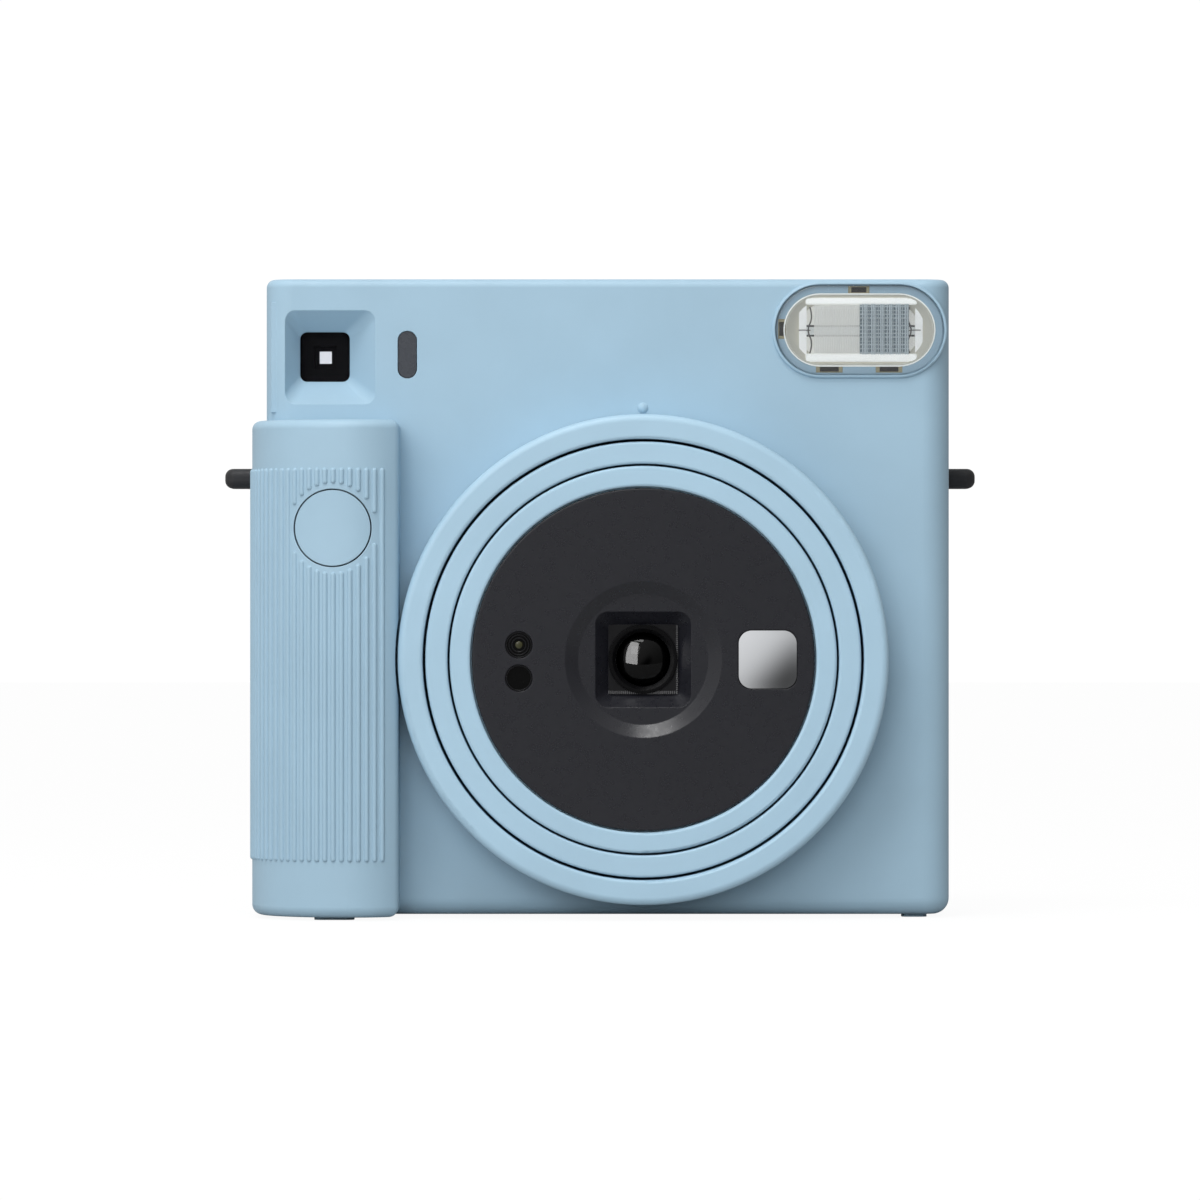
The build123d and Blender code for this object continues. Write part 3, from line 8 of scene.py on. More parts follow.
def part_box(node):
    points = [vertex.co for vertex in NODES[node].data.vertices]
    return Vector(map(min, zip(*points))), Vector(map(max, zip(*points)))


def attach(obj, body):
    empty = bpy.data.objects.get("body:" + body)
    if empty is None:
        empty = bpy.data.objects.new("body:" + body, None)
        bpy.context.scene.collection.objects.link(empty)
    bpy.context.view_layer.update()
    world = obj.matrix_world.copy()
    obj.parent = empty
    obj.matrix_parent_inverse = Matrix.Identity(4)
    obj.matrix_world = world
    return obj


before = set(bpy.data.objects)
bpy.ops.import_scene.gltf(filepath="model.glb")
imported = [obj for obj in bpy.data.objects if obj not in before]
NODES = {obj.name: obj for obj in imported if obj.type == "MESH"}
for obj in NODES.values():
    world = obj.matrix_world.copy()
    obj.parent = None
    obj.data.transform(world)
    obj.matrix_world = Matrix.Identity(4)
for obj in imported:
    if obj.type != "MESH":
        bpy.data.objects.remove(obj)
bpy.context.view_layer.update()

# A pale blue square-format instant camera. Metres throughout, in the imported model's frame:
# X to the right seen from the front, Y from front to back, Z up, the floor at Z = 0.

MM = 0.001
MICRON = 0.000001


# Places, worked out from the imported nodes

def middle(node):
    low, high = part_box(node)
    return (low + high) / 2


LENS_AXIS = middle("lens_ring")
FACE_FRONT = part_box("lens_face")[0].y
FLASH_CENTRE = middle("flash_window")
DIAL_CENTRE = middle("counter_dial")
DIAL_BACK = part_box("counter_dial")[1].y
COVER_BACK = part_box("flash_window")[1].y
REFLECTOR_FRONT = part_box("flash_reflector")[0].y
SENSORS_LOW, SENSORS_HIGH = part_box("sensor_windows")


# Materials

RIPPLE_DEPTH = 2 * MICRON
EDGE_RADIUS = 0.25 * MM
SHEEN_ROUGHNESS = 0.05
MOTTLE = 0.03
ROUGHNESS_SPREAD = 0.05
MOTTLE_SCALE = 60.0
ROUGHNESS_SCALE = 900.0


class Shader:
    """One procedural material, with short calls for its nodes."""

    def __init__(self, name):
        self.material = bpy.data.materials.new(name)
        self.material.use_nodes = True
        self.tree = self.material.node_tree
        self.surface = self.tree.nodes["Principled BSDF"]
        self.place = self.node("ShaderNodeTexCoord").outputs["Object"]

    def node(self, kind, **settings):
        made = self.tree.nodes.new(kind)
        for key, value in settings.items():
            setattr(made, key, value)
        return made

    def link(self, start, end):
        self.tree.links.new(start, end)

    def noise(self, scale, detail=3.0, roughness=0.5):
        made = self.node("ShaderNodeTexNoise")
        made.inputs["Scale"].default_value = scale
        made.inputs["Detail"].default_value = detail
        made.inputs["Roughness"].default_value = roughness
        self.link(self.place, made.inputs["Vector"])
        return made.outputs["Fac"]

    def spread(self, value, low, high, start=0.3, end=0.7):
        """Map a 0 to 1 pattern between start and end onto the range from low to high."""
        made = self.node("ShaderNodeMapRange")
        made.inputs["From Min"].default_value = start
        made.inputs["From Max"].default_value = end
        made.inputs["To Min"].default_value = low
        made.inputs["To Max"].default_value = high
        self.link(value, made.inputs["Value"])
        return made.outputs["Result"]

    def mix(self, amount, first, second):
        """Mix two colours, each a tuple or a socket, by a pattern."""
        made = self.node("ShaderNodeMix", data_type="RGBA")
        self.link(amount, made.inputs["Factor"])
        for socket, colour in ((made.inputs[6], first), (made.inputs[7], second)):
            if isinstance(colour, tuple):
                socket.default_value = (*colour, 1.0)
            else:
                self.link(colour, socket)
        return made.outputs[2]

    def soft_edges(self, radius):
        """A normal that rounds hard edges, and a mask that is 1 on those edges."""
        bevel = self.node("ShaderNodeBevel", samples=4)
        bevel.inputs["Radius"].default_value = radius
        flat = self.node("ShaderNodeNewGeometry").outputs["Normal"]
        dot = self.node("ShaderNodeVectorMath", operation="DOT_PRODUCT")
        self.link(bevel.outputs["Normal"], dot.inputs[0])
        self.link(flat, dot.inputs[1])
        return bevel.outputs["Normal"], self.spread(dot.outputs["Value"], 1.0, 0.0, 0.8, 0.99)

    def bump(self, height, depth, strength=1.0, normal=None):
        made = self.node("ShaderNodeBump")
        made.inputs["Strength"].default_value = strength
        made.inputs["Distance"].default_value = depth
        self.link(height, made.inputs["Height"])
        if normal is not None:
            self.link(normal, made.inputs["Normal"])
        self.link(made.outputs["Normal"], self.surface.inputs["Normal"])
        return made.outputs["Normal"]

    def set(self, **values):
        for key, value in values.items():
            socket = self.surface.inputs[key.replace("_", " ")]
            socket.default_value = (*value, 1.0) if isinstance(value, tuple) else value


def shade(colour, factor):
    return tuple(min(1.0, channel * factor) for channel in colour)


def moulded_plastic(name, colour, roughness, grain=0.45 * MM, depth=12 * MICRON, wear=1.12,
                    specular=0.5, glow=0.0):
    """Spark-eroded moulded plastic: fine grain, faint mottling and edges polished a little by hands; glow adds
    a painted glow, an emission that lightens the part though it is no lamp.
    """
    made = Shader(name)
    normal, edges = made.soft_edges(EDGE_RADIUS)
    patches = made.spread(made.noise(MOTTLE_SCALE, 4.0), 0.0, 1.0)
    mottled = made.mix(patches, shade(colour, 1 - MOTTLE), shade(colour, 1 + MOTTLE))
    worn = made.mix(edges, mottled, shade(colour, wear))
    made.link(worn, made.surface.inputs["Base Color"])
    rough = made.spread(made.noise(ROUGHNESS_SCALE), roughness - ROUGHNESS_SPREAD, roughness + ROUGHNESS_SPREAD)
    made.link(rough, made.surface.inputs["Roughness"])
    made.bump(made.noise(1.0 / grain, 2.0, 0.6), depth, 0.6, normal)
    # glow is painted light: the part gives off light of its own colour, as if more light reached it
    made.set(Specular_IOR_Level=specular, Emission_Color=colour, Emission_Strength=glow)
    return made.material


BRUSH_STRETCH = (1.0, 60.0, 60.0)


def brushed_metal(name, colour, roughness=0.3):
    """Metal with fine streaks along X in both its colour and its roughness."""
    made = Shader(name)
    scale = made.node("ShaderNodeMapping")
    scale.inputs["Scale"].default_value = BRUSH_STRETCH
    made.link(made.place, scale.inputs["Vector"])
    made.place = scale.outputs["Vector"]
    streaks = made.noise(120.0, 4.0)
    brushed = made.mix(made.spread(streaks, 0.0, 1.0), shade(colour, 0.85), shade(colour, 1.1))
    made.link(brushed, made.surface.inputs["Base Color"])
    made.link(made.spread(streaks, roughness - 0.08, roughness + 0.1), made.surface.inputs["Roughness"])
    made.bump(streaks, 4 * MICRON, 0.5)
    made.set(Metallic=1.0)
    return made.material


def clear_part(name, tint, ior=1.49, haze=0.0, haze_colour=(0.5, 0.5, 0.5)):
    """Thin clear plastic or glass: tinted, a little hazy, with a sheen that grows at glancing angles."""
    made = Shader(name)
    through = made.node("ShaderNodeBsdfTransparent")
    through.inputs["Color"].default_value = (*tint, 1.0)
    made.set(Base_Color=haze_colour, Roughness=0.5)
    sheen = made.node("ShaderNodeBsdfGlossy")
    sheen.inputs["Roughness"].default_value = SHEEN_ROUGHNESS
    fresnel = made.node("ShaderNodeFresnel")
    fresnel.inputs["IOR"].default_value = ior
    ripple = made.bump(made.noise(250.0, 1.0), RIPPLE_DEPTH, 0.3)
    made.link(ripple, fresnel.inputs["Normal"])
    made.link(ripple, sheen.inputs["Normal"])
    hazy = made.node("ShaderNodeMixShader")
    hazy.inputs["Fac"].default_value = haze
    made.link(through.outputs["BSDF"], hazy.inputs[1])
    made.link(made.surface.outputs["BSDF"], hazy.inputs[2])
    mixed = made.node("ShaderNodeMixShader")
    made.link(fresnel.outputs["Fac"], mixed.inputs["Fac"])
    made.link(hazy.outputs["Shader"], mixed.inputs[1])
    made.link(sheen.outputs["BSDF"], mixed.inputs[2])
    made.link(mixed.outputs["Shader"], made.tree.nodes["Material Output"].inputs["Surface"])
    return made.material


def coated_board(name):
    """Green circuit board with copper tracks under the mask."""
    made = Shader(name)
    cells = made.node("ShaderNodeTexBrick")
    cells.inputs["Scale"].default_value = 160.0
    cells.inputs["Color1"].default_value = (0.012, 0.10, 0.045, 1.0)
    cells.inputs["Color2"].default_value = (0.015, 0.13, 0.06, 1.0)
    cells.inputs["Mortar"].default_value = (0.03, 0.22, 0.09, 1.0)
    made.link(made.place, cells.inputs["Vector"])
    made.link(cells.outputs["Color"], made.surface.inputs["Base Color"])
    made.link(made.spread(made.noise(400.0), 0.25, 0.4), made.surface.inputs["Roughness"])
    made.bump(cells.outputs["Fac"], 30 * MICRON, 0.5)
    return made.material


def film_paper(name):
    """Coated paper with a faint fibre in it."""
    made = Shader(name)
    fibres = made.noise(2500.0, 5.0)
    made.link(made.mix(fibres, (0.78, 0.78, 0.75), (0.86, 0.86, 0.84)), made.surface.inputs["Base Color"])
    made.bump(fibres, 10 * MICRON, 0.3)
    made.set(Roughness=0.45)
    return made.material


def mirror_finish(name):
    """A polished mirror with a trace of waviness."""
    made = Shader(name)
    made.set(Base_Color=(0.93, 0.95, 0.98), Metallic=1.0)
    made.link(made.spread(made.noise(700.0), 0.03, 0.07), made.surface.inputs["Roughness"])
    made.bump(made.noise(120.0, 1.0), 1 * MICRON, 0.2)
    return made.material


def reflector_finish(name):
    """Vacuum-metallised reflector: bright, a little hazy, and lightened further by a painted glow from a faint
    emission.
    """
    made = Shader(name)
    haze = made.noise(600.0, 3.0)
    made.link(made.mix(haze, (0.82, 0.81, 0.77), (0.93, 0.92, 0.89)), made.surface.inputs["Base Color"])
    # Painted glow: a faint emission that brightens the reflector though it is no lamp.
    made.set(Emission_Color=(0.9, 0.89, 0.85), Emission_Strength=0.2)
    made.link(made.spread(haze, 0.3, 0.42), made.surface.inputs["Roughness"])
    made.bump(haze, 6 * MICRON, 0.4)
    made.set(Metallic=0.25)
    return made.material


BLUE = (0.323, 0.476, 0.588)
BLACK = (0.022, 0.022, 0.024)
MATERIALS = {
    "body": moulded_plastic("blue_moulded", BLUE, 0.52),
    # A finer-grained blue, 11 per cent lighter than the body: the lighter tone is painted light for the ring
    # and barrels that stand forward into the light.
    "smooth_blue_painted_light": moulded_plastic("blue_smooth_painted_light", shade(BLUE, 1.11), 0.46, grain=0.3 * MM,
                                   depth=6 * MICRON),
    "black": moulded_plastic("black_moulded", BLACK, 0.5, wear=1.8, specular=0.3),
    "face": moulded_plastic("face_black", (0.0098, 0.0102, 0.0142), 0.3, grain=0.25 * MM,
                            depth=10 * MICRON, wear=1.5, specular=0.46),
    "plate": moulded_plastic("plate_black", (0.004, 0.004, 0.005), 0.32, depth=4 * MICRON, wear=2.5,
                             specular=0.25),
    # Lighter grey for the ridged step: a painted highlight where light from above and the left falls on the
    # plate's lower and right edges.
    "ridge": moulded_plastic("ridge_grey_painted_highlight", (0.07, 0.07, 0.073), 0.35, depth=4 * MICRON, wear=2.0),
    "bezel": moulded_plastic("bezel_black", (0.0016, 0.0016, 0.002), 0.28, depth=2 * MICRON, wear=2.0,
                             specular=0.12),
    "tunnel": moulded_plastic("tunnel_black", (0.0022, 0.002, 0.003), 0.6, wear=2.0, specular=0.1),
    "smoke": moulded_plastic("smoke_window", (0.04, 0.045, 0.055), 0.28, depth=3 * MICRON, wear=1.2),
    "clear": clear_part("clear_window", (0.93, 0.95, 0.97)),
    # The lens glass passes only about 3 per cent: painted shade standing in for the dark inside of the lens
    # behind it.
    "lens": clear_part("coated_glass_painted_dark", (0.03, 0.032, 0.045), 1.32),
    "window": clear_part("window_glass", (0.93, 0.93, 0.95), 1.12),
    "sensor": moulded_plastic("sensor_dark", (0.002, 0.002, 0.002), 0.12, depth=1 * MICRON, wear=1.0,
                              specular=0.1),
    "olive": moulded_plastic("sensor_olive", (0.035, 0.034, 0.012), 0.2, depth=3 * MICRON),
    "mirror": mirror_finish("mirror_face"),
    "flash_clear": clear_part("flash_clear", (0.97, 0.985, 1.0), 1.4, 0.035, (0.9, 0.95, 1.0)),
    "reflector": reflector_finish("reflector_bright_painted_glow"),
    # The flash parts behind the clear cover glow faintly: painted light that makes up for the light the cover
    # and its recess keep from them.
    "seat": moulded_plastic("flash_seat_blue_painted_glow", shade(BLUE, 0.95), 0.4, depth=6 * MICRON, glow=0.06),
    "rim": moulded_plastic("flash_rim_pale_painted_glow", (0.86, 0.88, 0.84), 0.3, depth=3 * MICRON, glow=0.25),
    "cup": moulded_plastic("flash_cup_grey_painted_glow", (0.55, 0.53, 0.45), 0.45, depth=6 * MICRON, glow=0.12),
    "cream": moulded_plastic("flash_cream_painted_glow", (0.90, 0.89, 0.84), 0.35, depth=6 * MICRON, glow=0.32),
    "streak": moulded_plastic("flash_streak_painted_glow", (0.70, 0.69, 0.64), 0.35, depth=6 * MICRON, glow=0.2),
    "grid": moulded_plastic("flash_grid_grey_painted_glow", (0.46, 0.52, 0.54), 0.3, depth=3 * MICRON, glow=0.1),
    "panel": moulded_plastic("flash_panel_grey_painted_glow", (0.12, 0.165, 0.185), 0.2, depth=4 * MICRON, glow=0.12),
    "clip": moulded_plastic("flash_clip", (0.10, 0.088, 0.055), 0.35, depth=10 * MICRON, wear=2.2),
    "clip_frame": moulded_plastic("clip_gold_painted_glow", (0.30, 0.27, 0.16), 0.35, depth=4 * MICRON, glow=0.05),
    "clip_dark": moulded_plastic("clip_dark", (0.016, 0.013, 0.008), 0.4, depth=4 * MICRON, specular=0.2),
    "dark_wire": brushed_metal("dark_wire", (0.10, 0.09, 0.09), 0.4),
    "steel": brushed_metal("brushed_steel", (0.55, 0.55, 0.56)),
    "blade": brushed_metal("blackened_steel", (0.03, 0.03, 0.032), 0.45),
    "gear": moulded_plastic("gear_plastic", (0.72, 0.71, 0.66), 0.4, depth=6 * MICRON),
    "roller": moulded_plastic("roller_rubber", (0.06, 0.06, 0.06), 0.6, depth=20 * MICRON, wear=1.3),
    "board": coated_board("circuit_board"),
    "cell": moulded_plastic("cell_sleeve", (0.03, 0.035, 0.05), 0.22, depth=3 * MICRON, wear=2.5),
    "capacitor": moulded_plastic("capacitor_sleeve", (0.03, 0.03, 0.05), 0.25, depth=3 * MICRON, wear=2.0),
    "film": film_paper("film_paper"),
}
FINISHES = {
    "body": ["front_shell", "grip_cover", "rear_shell", "shutter_button", "back_door", "battery_door",
             "feet"],
    "smooth_blue_painted_light": ["lens_ring", "outer_barrel", "inner_barrel"],
    "black": ["film_exit_trim", "strap_lug_left", "strap_lug_right", "eyepiece_frame",
              "barrel_guide", "shutter_housing", "dark_chamber", "film_pack_case",
              "door_inner_panel", "battery_tray", "roller_bracket", "gear_plate", "ring_clip",
              "shutter_switch", "door_latch"],
    "face": ["lens_face"],
    "bezel": ["lens_bezel"],
    "tunnel": ["finder_tunnel"],
    "smoke": ["light_window"],
    "flash_clear": ["flash_window"],
    "clear": ["counter_window", "pack_window", "eyepiece_lens", "flash_tube"],
    "window": ["finder_window"],
    "lens": ["front_lens", "rear_lens"],
    "sensor": ["sensor_windows"],
    "mirror": ["selfie_mirror"],
    "reflector": ["flash_reflector"],
    "clip": ["flash_clips"],
    "steel": ["case_screws", "hinge_pins", "button_spring", "battery_contacts", "pressure_pads", "motor"],
    "blade": ["shutter_blade_front", "shutter_blade_rear"],
    "gear": ["reduction_gear", "motor_pinion", "film_claw", "counter_dial"],
    "roller": ["drive_roller", "pinch_roller"],
    "board": ["flash_board", "main_board"],
    "cell": ["battery_cells"],
    "capacitor": ["flash_capacitor"],
    "film": ["film_sheets"],
}


def finish_nodes():
    """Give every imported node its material."""
    for finish, names in FINISHES.items():
        for name in names:
            for slot in NODES[name].material_slots:
                slot.material = MATERIALS[finish]


# Mesh helpers

SPLIT_ANGLE = math.radians(35)


def new_piece(name, mesh_maker, finish, body):
    """Make a mesh piece from a bmesh-filling function and put it on its body."""
    mesh = bpy.data.meshes.new(name)
    shape = bmesh.new()
    mesh_maker(shape)
    bmesh.ops.recalc_face_normals(shape, faces=shape.faces)
    shape.to_mesh(mesh)
    shape.free()
    for polygon in mesh.polygons:
        polygon.use_smooth = True
    mesh.materials.append(MATERIALS[finish])
    piece = bpy.data.objects.new(name, mesh)
    bpy.context.scene.collection.objects.link(piece)
    split = piece.modifiers.new("split", "EDGE_SPLIT")
    split.split_angle = SPLIT_ANGLE
    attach(piece, body)


def bridge(shape, loops):
    """Join closed loops of vertices, each to the next and the last to the first."""
    count = len(loops[0])
    for index, loop in enumerate(loops):
        following = loops[(index + 1) % len(loops)]
        for step in range(count):
            after = (step + 1) % count
            shape.faces.new((loop[step], loop[after], following[after], following[step]))


def add_turned(shape, centre, profile, steps=64):
    """Add a closed solid of revolution about a line along Y: the profile is (radius, y) pairs."""
    rings = []
    for step in range(steps):
        angle = 2 * math.pi * step / steps
        across = Vector((math.cos(angle), 0, math.sin(angle)))
        ring = []
        for radius, y in profile:
            ring.append(shape.verts.new(Vector((centre.x, y, centre.z)) + across * radius))
        rings.append(ring)
    bridge(shape, rings)


def add_box(shape, low, high):
    """Add a box between two corners and give its vertices."""
    centre = (Vector(low) + Vector(high)) / 2
    size = Vector(high) - Vector(low)
    matrix = Matrix.Translation(centre) @ Matrix.Diagonal((*size, 1.0))
    made = bmesh.ops.create_cube(shape, size=1.0, matrix=matrix)
    return made["verts"]


def round_box(shape, corners, radius):
    """Round every edge of a box, given its corners."""
    edges = list({edge for corner in corners for edge in corner.link_edges})
    bmesh.ops.bevel(shape, geom=edges, offset=radius, segments=2, affect="EDGES")


def stadium_points(centre, width, height):
    """Points round a stadium in X and Z."""
    steps = 24
    radius = height / 2
    reach = width / 2 - radius
    points = []
    for side in (1, -1):
        for step in range(steps + 1):
            angle = math.pi * step / steps - math.pi / 2
            x = centre.x + side * (reach + radius * math.cos(angle))
            z = centre.z + side * radius * math.sin(angle)
            points.append((x, z))
    return points


# Flash

CUP_WALL = 0.3 * MM
CUP_DEPTH = 1.0 * MM
RIM_THICKNESS = 0.15 * MM
SEAT_THICKNESS = 0.03 * MM
CLIP_THICKNESS = 0.04 * MM
CLIP_EDGE = 0.012 * MM
TONGUE_SHARE = 0.35
BAR_LEFT = 38.4 * MM
BAR_RIGHT = 59.2 * MM
BAR_HEIGHTS = ((103.75, 105.3), (114.45, 115.75))
RIBS_LEFT = 40.0 * MM
RIBS_LOW = 105.4 * MM
RIBS_HIGH = 114.3 * MM
RIB_COUNT = 26
GRID_LEFT = 48.5 * MM
GRID_RIGHT = 57.7 * MM
GRID_LOW = 104.0 * MM
GRID_HIGH = 115.4 * MM
GRID_COLUMNS = 22
GRID_ROWS = 16


def add_stadium_ring(shape, sections):
    """Add a closed ring round the flash: each section is a width and a height in millimetres, and a Y."""
    loops = []
    for width, height, y in sections:
        points = stadium_points(FLASH_CENTRE, width * MM, height * MM)
        loops.append([shape.verts.new((x, y, z)) for x, z in points])
    bridge(shape, loops)


def add_flash_cup(shape):
    """The grey cup round the reflector, with a wall that slopes in to a lip behind the reflector."""
    front = COVER_BACK + 0.1 * MM
    back = REFLECTOR_FRONT + CUP_DEPTH
    sections = [(27.9, 13.2, front), (27.3, 12.7, front), (22.5, 10.5, back), (27.0, 12.5, back + CUP_WALL)]
    add_stadium_ring(shape, sections)


def add_flash_rim(shape):
    """The pale moulded line round the cup, inside the clear cover, made bright partly by a painted glow."""
    back = COVER_BACK - 0.02 * MM
    front = back - RIM_THICKNESS
    sections = [(28.4, 13.7, front), (27.9, 13.2, front), (27.9, 13.2, back), (28.4, 13.7, back)]
    add_stadium_ring(shape, sections)


def add_flash_seat(shape):
    """The pale blue ledge that shows through the cover's rim; its material is a shade darker than the body blue
    and glows faintly, painted shade and painted light for the ledge inside the recess.
    """
    back = COVER_BACK
    front = back - SEAT_THICKNESS
    sections = [(31.2, 16.5, front), (28.5, 13.8, front), (28.5, 13.8, back), (31.2, 16.5, back)]
    add_stadium_ring(shape, sections)


# Each clip is its centre in X and Z, its width and its height, in millimetres.
FLASH_CLIPS = (
    (48.3, 117.2, 4.0, 1.4),
    (33.95, 109.9, 1.4, 3.7),
    (42.8, 102.4, 5.0, 1.3),
    (53.95, 102.4, 5.0, 1.3),
)


def add_clip_plates(shape, back, share):
    """Add a thin plate over each clip, reaching that share of the clip's width and height to each side."""
    for x, z, width, height in FLASH_CLIPS:
        across = width * share
        up = height * share
        low = ((x - across) * MM, back - CLIP_THICKNESS, (z - up) * MM)
        high = ((x + across) * MM, back, (z + up) * MM)
        round_box(shape, add_box(shape, low, high), CLIP_EDGE)


def add_clip_frames(shape):
    """The gold-coloured edges of the four clips that hold the cover, seen through its rim."""
    add_clip_plates(shape, COVER_BACK - 0.04 * MM, 0.5)


def add_clip_middles(shape):
    """The dark tongue in the middle of each clip."""
    add_clip_plates(shape, COVER_BACK - 0.09 * MM, TONGUE_SHARE)


def add_flash_bars(shape):
    """The two white flanges above and below the reflector's trough."""
    front = COVER_BACK + 0.15 * MM
    back = REFLECTOR_FRONT - 0.02 * MM
    for low, high in BAR_HEIGHTS:
        bar = add_box(shape, (BAR_LEFT, front, low * MM), (BAR_RIGHT, back, high * MM))
        round_box(shape, bar, 0.15 * MM)


def add_flash_ribs(shape):
    """Fine upright lens ribs over the left half of the reflector."""
    front = COVER_BACK + 0.2 * MM
    pitch = (GRID_LEFT - RIBS_LEFT) / RIB_COUNT
    for rib in range(RIB_COUNT):
        start = RIBS_LEFT + rib * pitch
        depth = (0.16 + 0.1 * math.sin(rib * 1.7)) * MM
        add_box(shape, (start, front, RIBS_LOW), (start + pitch * 0.8, front + depth, RIBS_HIGH))


def add_flash_grid(shape):
    """The crossed fine ribs over the right half of the reflector, uneven in width as moulded ones look."""
    front = COVER_BACK + 0.2 * MM
    pitch = (GRID_RIGHT - GRID_LEFT) / GRID_COLUMNS
    for column in range(GRID_COLUMNS):
        start = GRID_LEFT + column * pitch
        width = pitch * (0.15 + 0.7 * abs(math.sin(column * 2.3)))
        add_box(shape, (start, front, GRID_LOW), (start + width, front + 0.12 * MM, GRID_HIGH))
    pitch = (GRID_HIGH - GRID_LOW) / GRID_ROWS
    for row in range(GRID_ROWS):
        start = GRID_LOW + row * pitch
        height = pitch * (0.12 + 0.3 * abs(math.sin(row * 1.9)))
        low = (GRID_LEFT, front + 0.14 * MM, start)
        high = (GRID_RIGHT, front + 0.22 * MM, start + height)
        add_box(shape, low, high)


def add_flash_panel(shape):
    """The tinted panel behind the crossed ribs."""
    front = COVER_BACK + 0.5 * MM
    panel = add_box(shape, (GRID_LEFT, front, GRID_LOW), (GRID_RIGHT, front + 0.25 * MM, GRID_HIGH))
    round_box(shape, panel, 0.08 * MM)


def make_wire(name, points, radius, finish, body):
    """A thin wire through a few points, as a smooth curve."""
    curve = bpy.data.curves.new(name, "CURVE")
    curve.dimensions = "3D"
    curve.bevel_depth = radius
    curve.bevel_resolution = 3
    spline = curve.splines.new("NURBS")
    spline.points.add(len(points) - 1)
    for point, place in zip(spline.points, points):
        point.co = (*place, 1.0)
    spline.order_u = 3
    spline.use_endpoint_u = True
    curve.materials.append(MATERIALS[finish])
    wire = bpy.data.objects.new(name, curve)
    bpy.context.scene.collection.objects.link(wire)
    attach(wire, body)


WIRE_DEPTH = 0.9 * MM
WIRE_LEFT = 39.3 * MM
WIRE_RIGHT = 57.7 * MM
TRIGGER_RADIUS = 0.14 * MM
LEAD_RADIUS = 0.09 * MM
# Along the trigger wire: the way outwards and the way up, in millimetres.
TRIGGER_WIRE = ((0.1, 4.3), (-0.5, 2.4), (0.7, 0.0), (-0.5, -2.4), (0.1, -4.3))
# Along the lead wire: the way outwards, back and up, in millimetres.
LEAD_WIRE = ((2.2, 0.0, 0.0), (1.2, -0.05, 0.05), (0.0, 0.0, -0.05))


def make_tube_wires():
    """The tube's lead wires and the springy trigger wires that hold its ends."""
    origin = Vector((0, COVER_BACK + WIRE_DEPTH, FLASH_CENTRE.z))
    for side, x, outward in (("left", WIRE_LEFT, -1), ("right", WIRE_RIGHT, 1)):
        base = origin + Vector((x, 0, 0))
        arc = [base + Vector((outward * out, 0, up)) * MM for out, up in TRIGGER_WIRE]
        make_wire(f"trigger_wire_{side}", arc, TRIGGER_RADIUS, "dark_wire", "root")
        lead = [base + Vector((outward * out, back, up)) * MM for out, back, up in LEAD_WIRE]
        make_wire(f"lead_wire_{side}", lead, LEAD_RADIUS, "dark_wire", "root")


# Sensors

SENSOR_RADIUS = (SENSORS_HIGH.x - SENSORS_LOW.x) / 2
SENSOR_GLASS = SENSORS_LOW.y
UPPER_SENSOR = Vector((SENSORS_LOW.x + SENSOR_RADIUS, SENSOR_GLASS, SENSORS_HIGH.z - SENSOR_RADIUS))
LOWER_SENSOR = Vector((SENSORS_LOW.x + SENSOR_RADIUS, SENSOR_GLASS, SENSORS_LOW.z + SENSOR_RADIUS))
RING_WALL = 0.22 * MM
BEAD_RADIUS = 0.7 * MM
BEAD_FLATNESS = 0.3


def add_sensor_rings(shape):
    """Fine steps inside the upper sensor's hole, and one plain lip in the lower one."""
    steps = [(UPPER_SENSOR, 2.42, 0.4), (UPPER_SENSOR, 1.95, 0.25), (UPPER_SENSOR, 1.4, 0.12),
             (LOWER_SENSOR, 2.42, 0.4)]
    for centre, radius, reach in steps:
        outer = radius * MM
        inner = outer - RING_WALL
        front = SENSOR_GLASS - reach * MM
        profile = [(outer, front), (outer, SENSOR_GLASS), (inner, SENSOR_GLASS), (inner, front)]
        add_turned(shape, centre, profile)


def add_sensor_bead(shape):
    """The small olive cell in the middle of the upper sensor."""
    centre = UPPER_SENSOR - Vector((0, 0.05 * MM, 0))
    flatten = Matrix.Translation(centre) @ Matrix.Diagonal((1.0, BEAD_FLATNESS, 1.0, 1.0))
    bmesh.ops.create_icosphere(shape, subdivisions=3, radius=BEAD_RADIUS, matrix=flatten)


# Lens surround

RECESS_DEPTH = 4.5 * MM
SURROUND_HALF = 6.45 * MM
SURROUND_HOLE = 6.42 * MM
SURROUND_FLOOR = FACE_FRONT + RECESS_DEPTH
SURROUND_FRONT = SURROUND_FLOOR - 0.25 * MM
RIDGE_COUNT = 34
RIDGE_SHARE = 0.55


def add_lens_surround(shape):
    """The black square plate round the lens, built on rays from its hole out to its edge."""
    rays = []
    steps = 64
    for step in range(steps):
        angle = 2 * math.pi * step / steps
        across = Vector((math.cos(angle), 0, math.sin(angle)))
        reach = SURROUND_HALF / max(abs(across.x), abs(across.z))
        rays.append((across * SURROUND_HOLE, across * reach))
    centre = Vector((LENS_AXIS.x, 0, LENS_AXIS.z))
    loops = []
    hole, edge = 0, 1
    sections = ((hole, SURROUND_FRONT), (edge, SURROUND_FRONT),
                (edge, SURROUND_FLOOR), (hole, SURROUND_FLOOR))
    for side, y in sections:
        depth = Vector((0, y, 0))
        loops.append([shape.verts.new(centre + ray[side] + depth) for ray in rays])
    bridge(shape, loops)


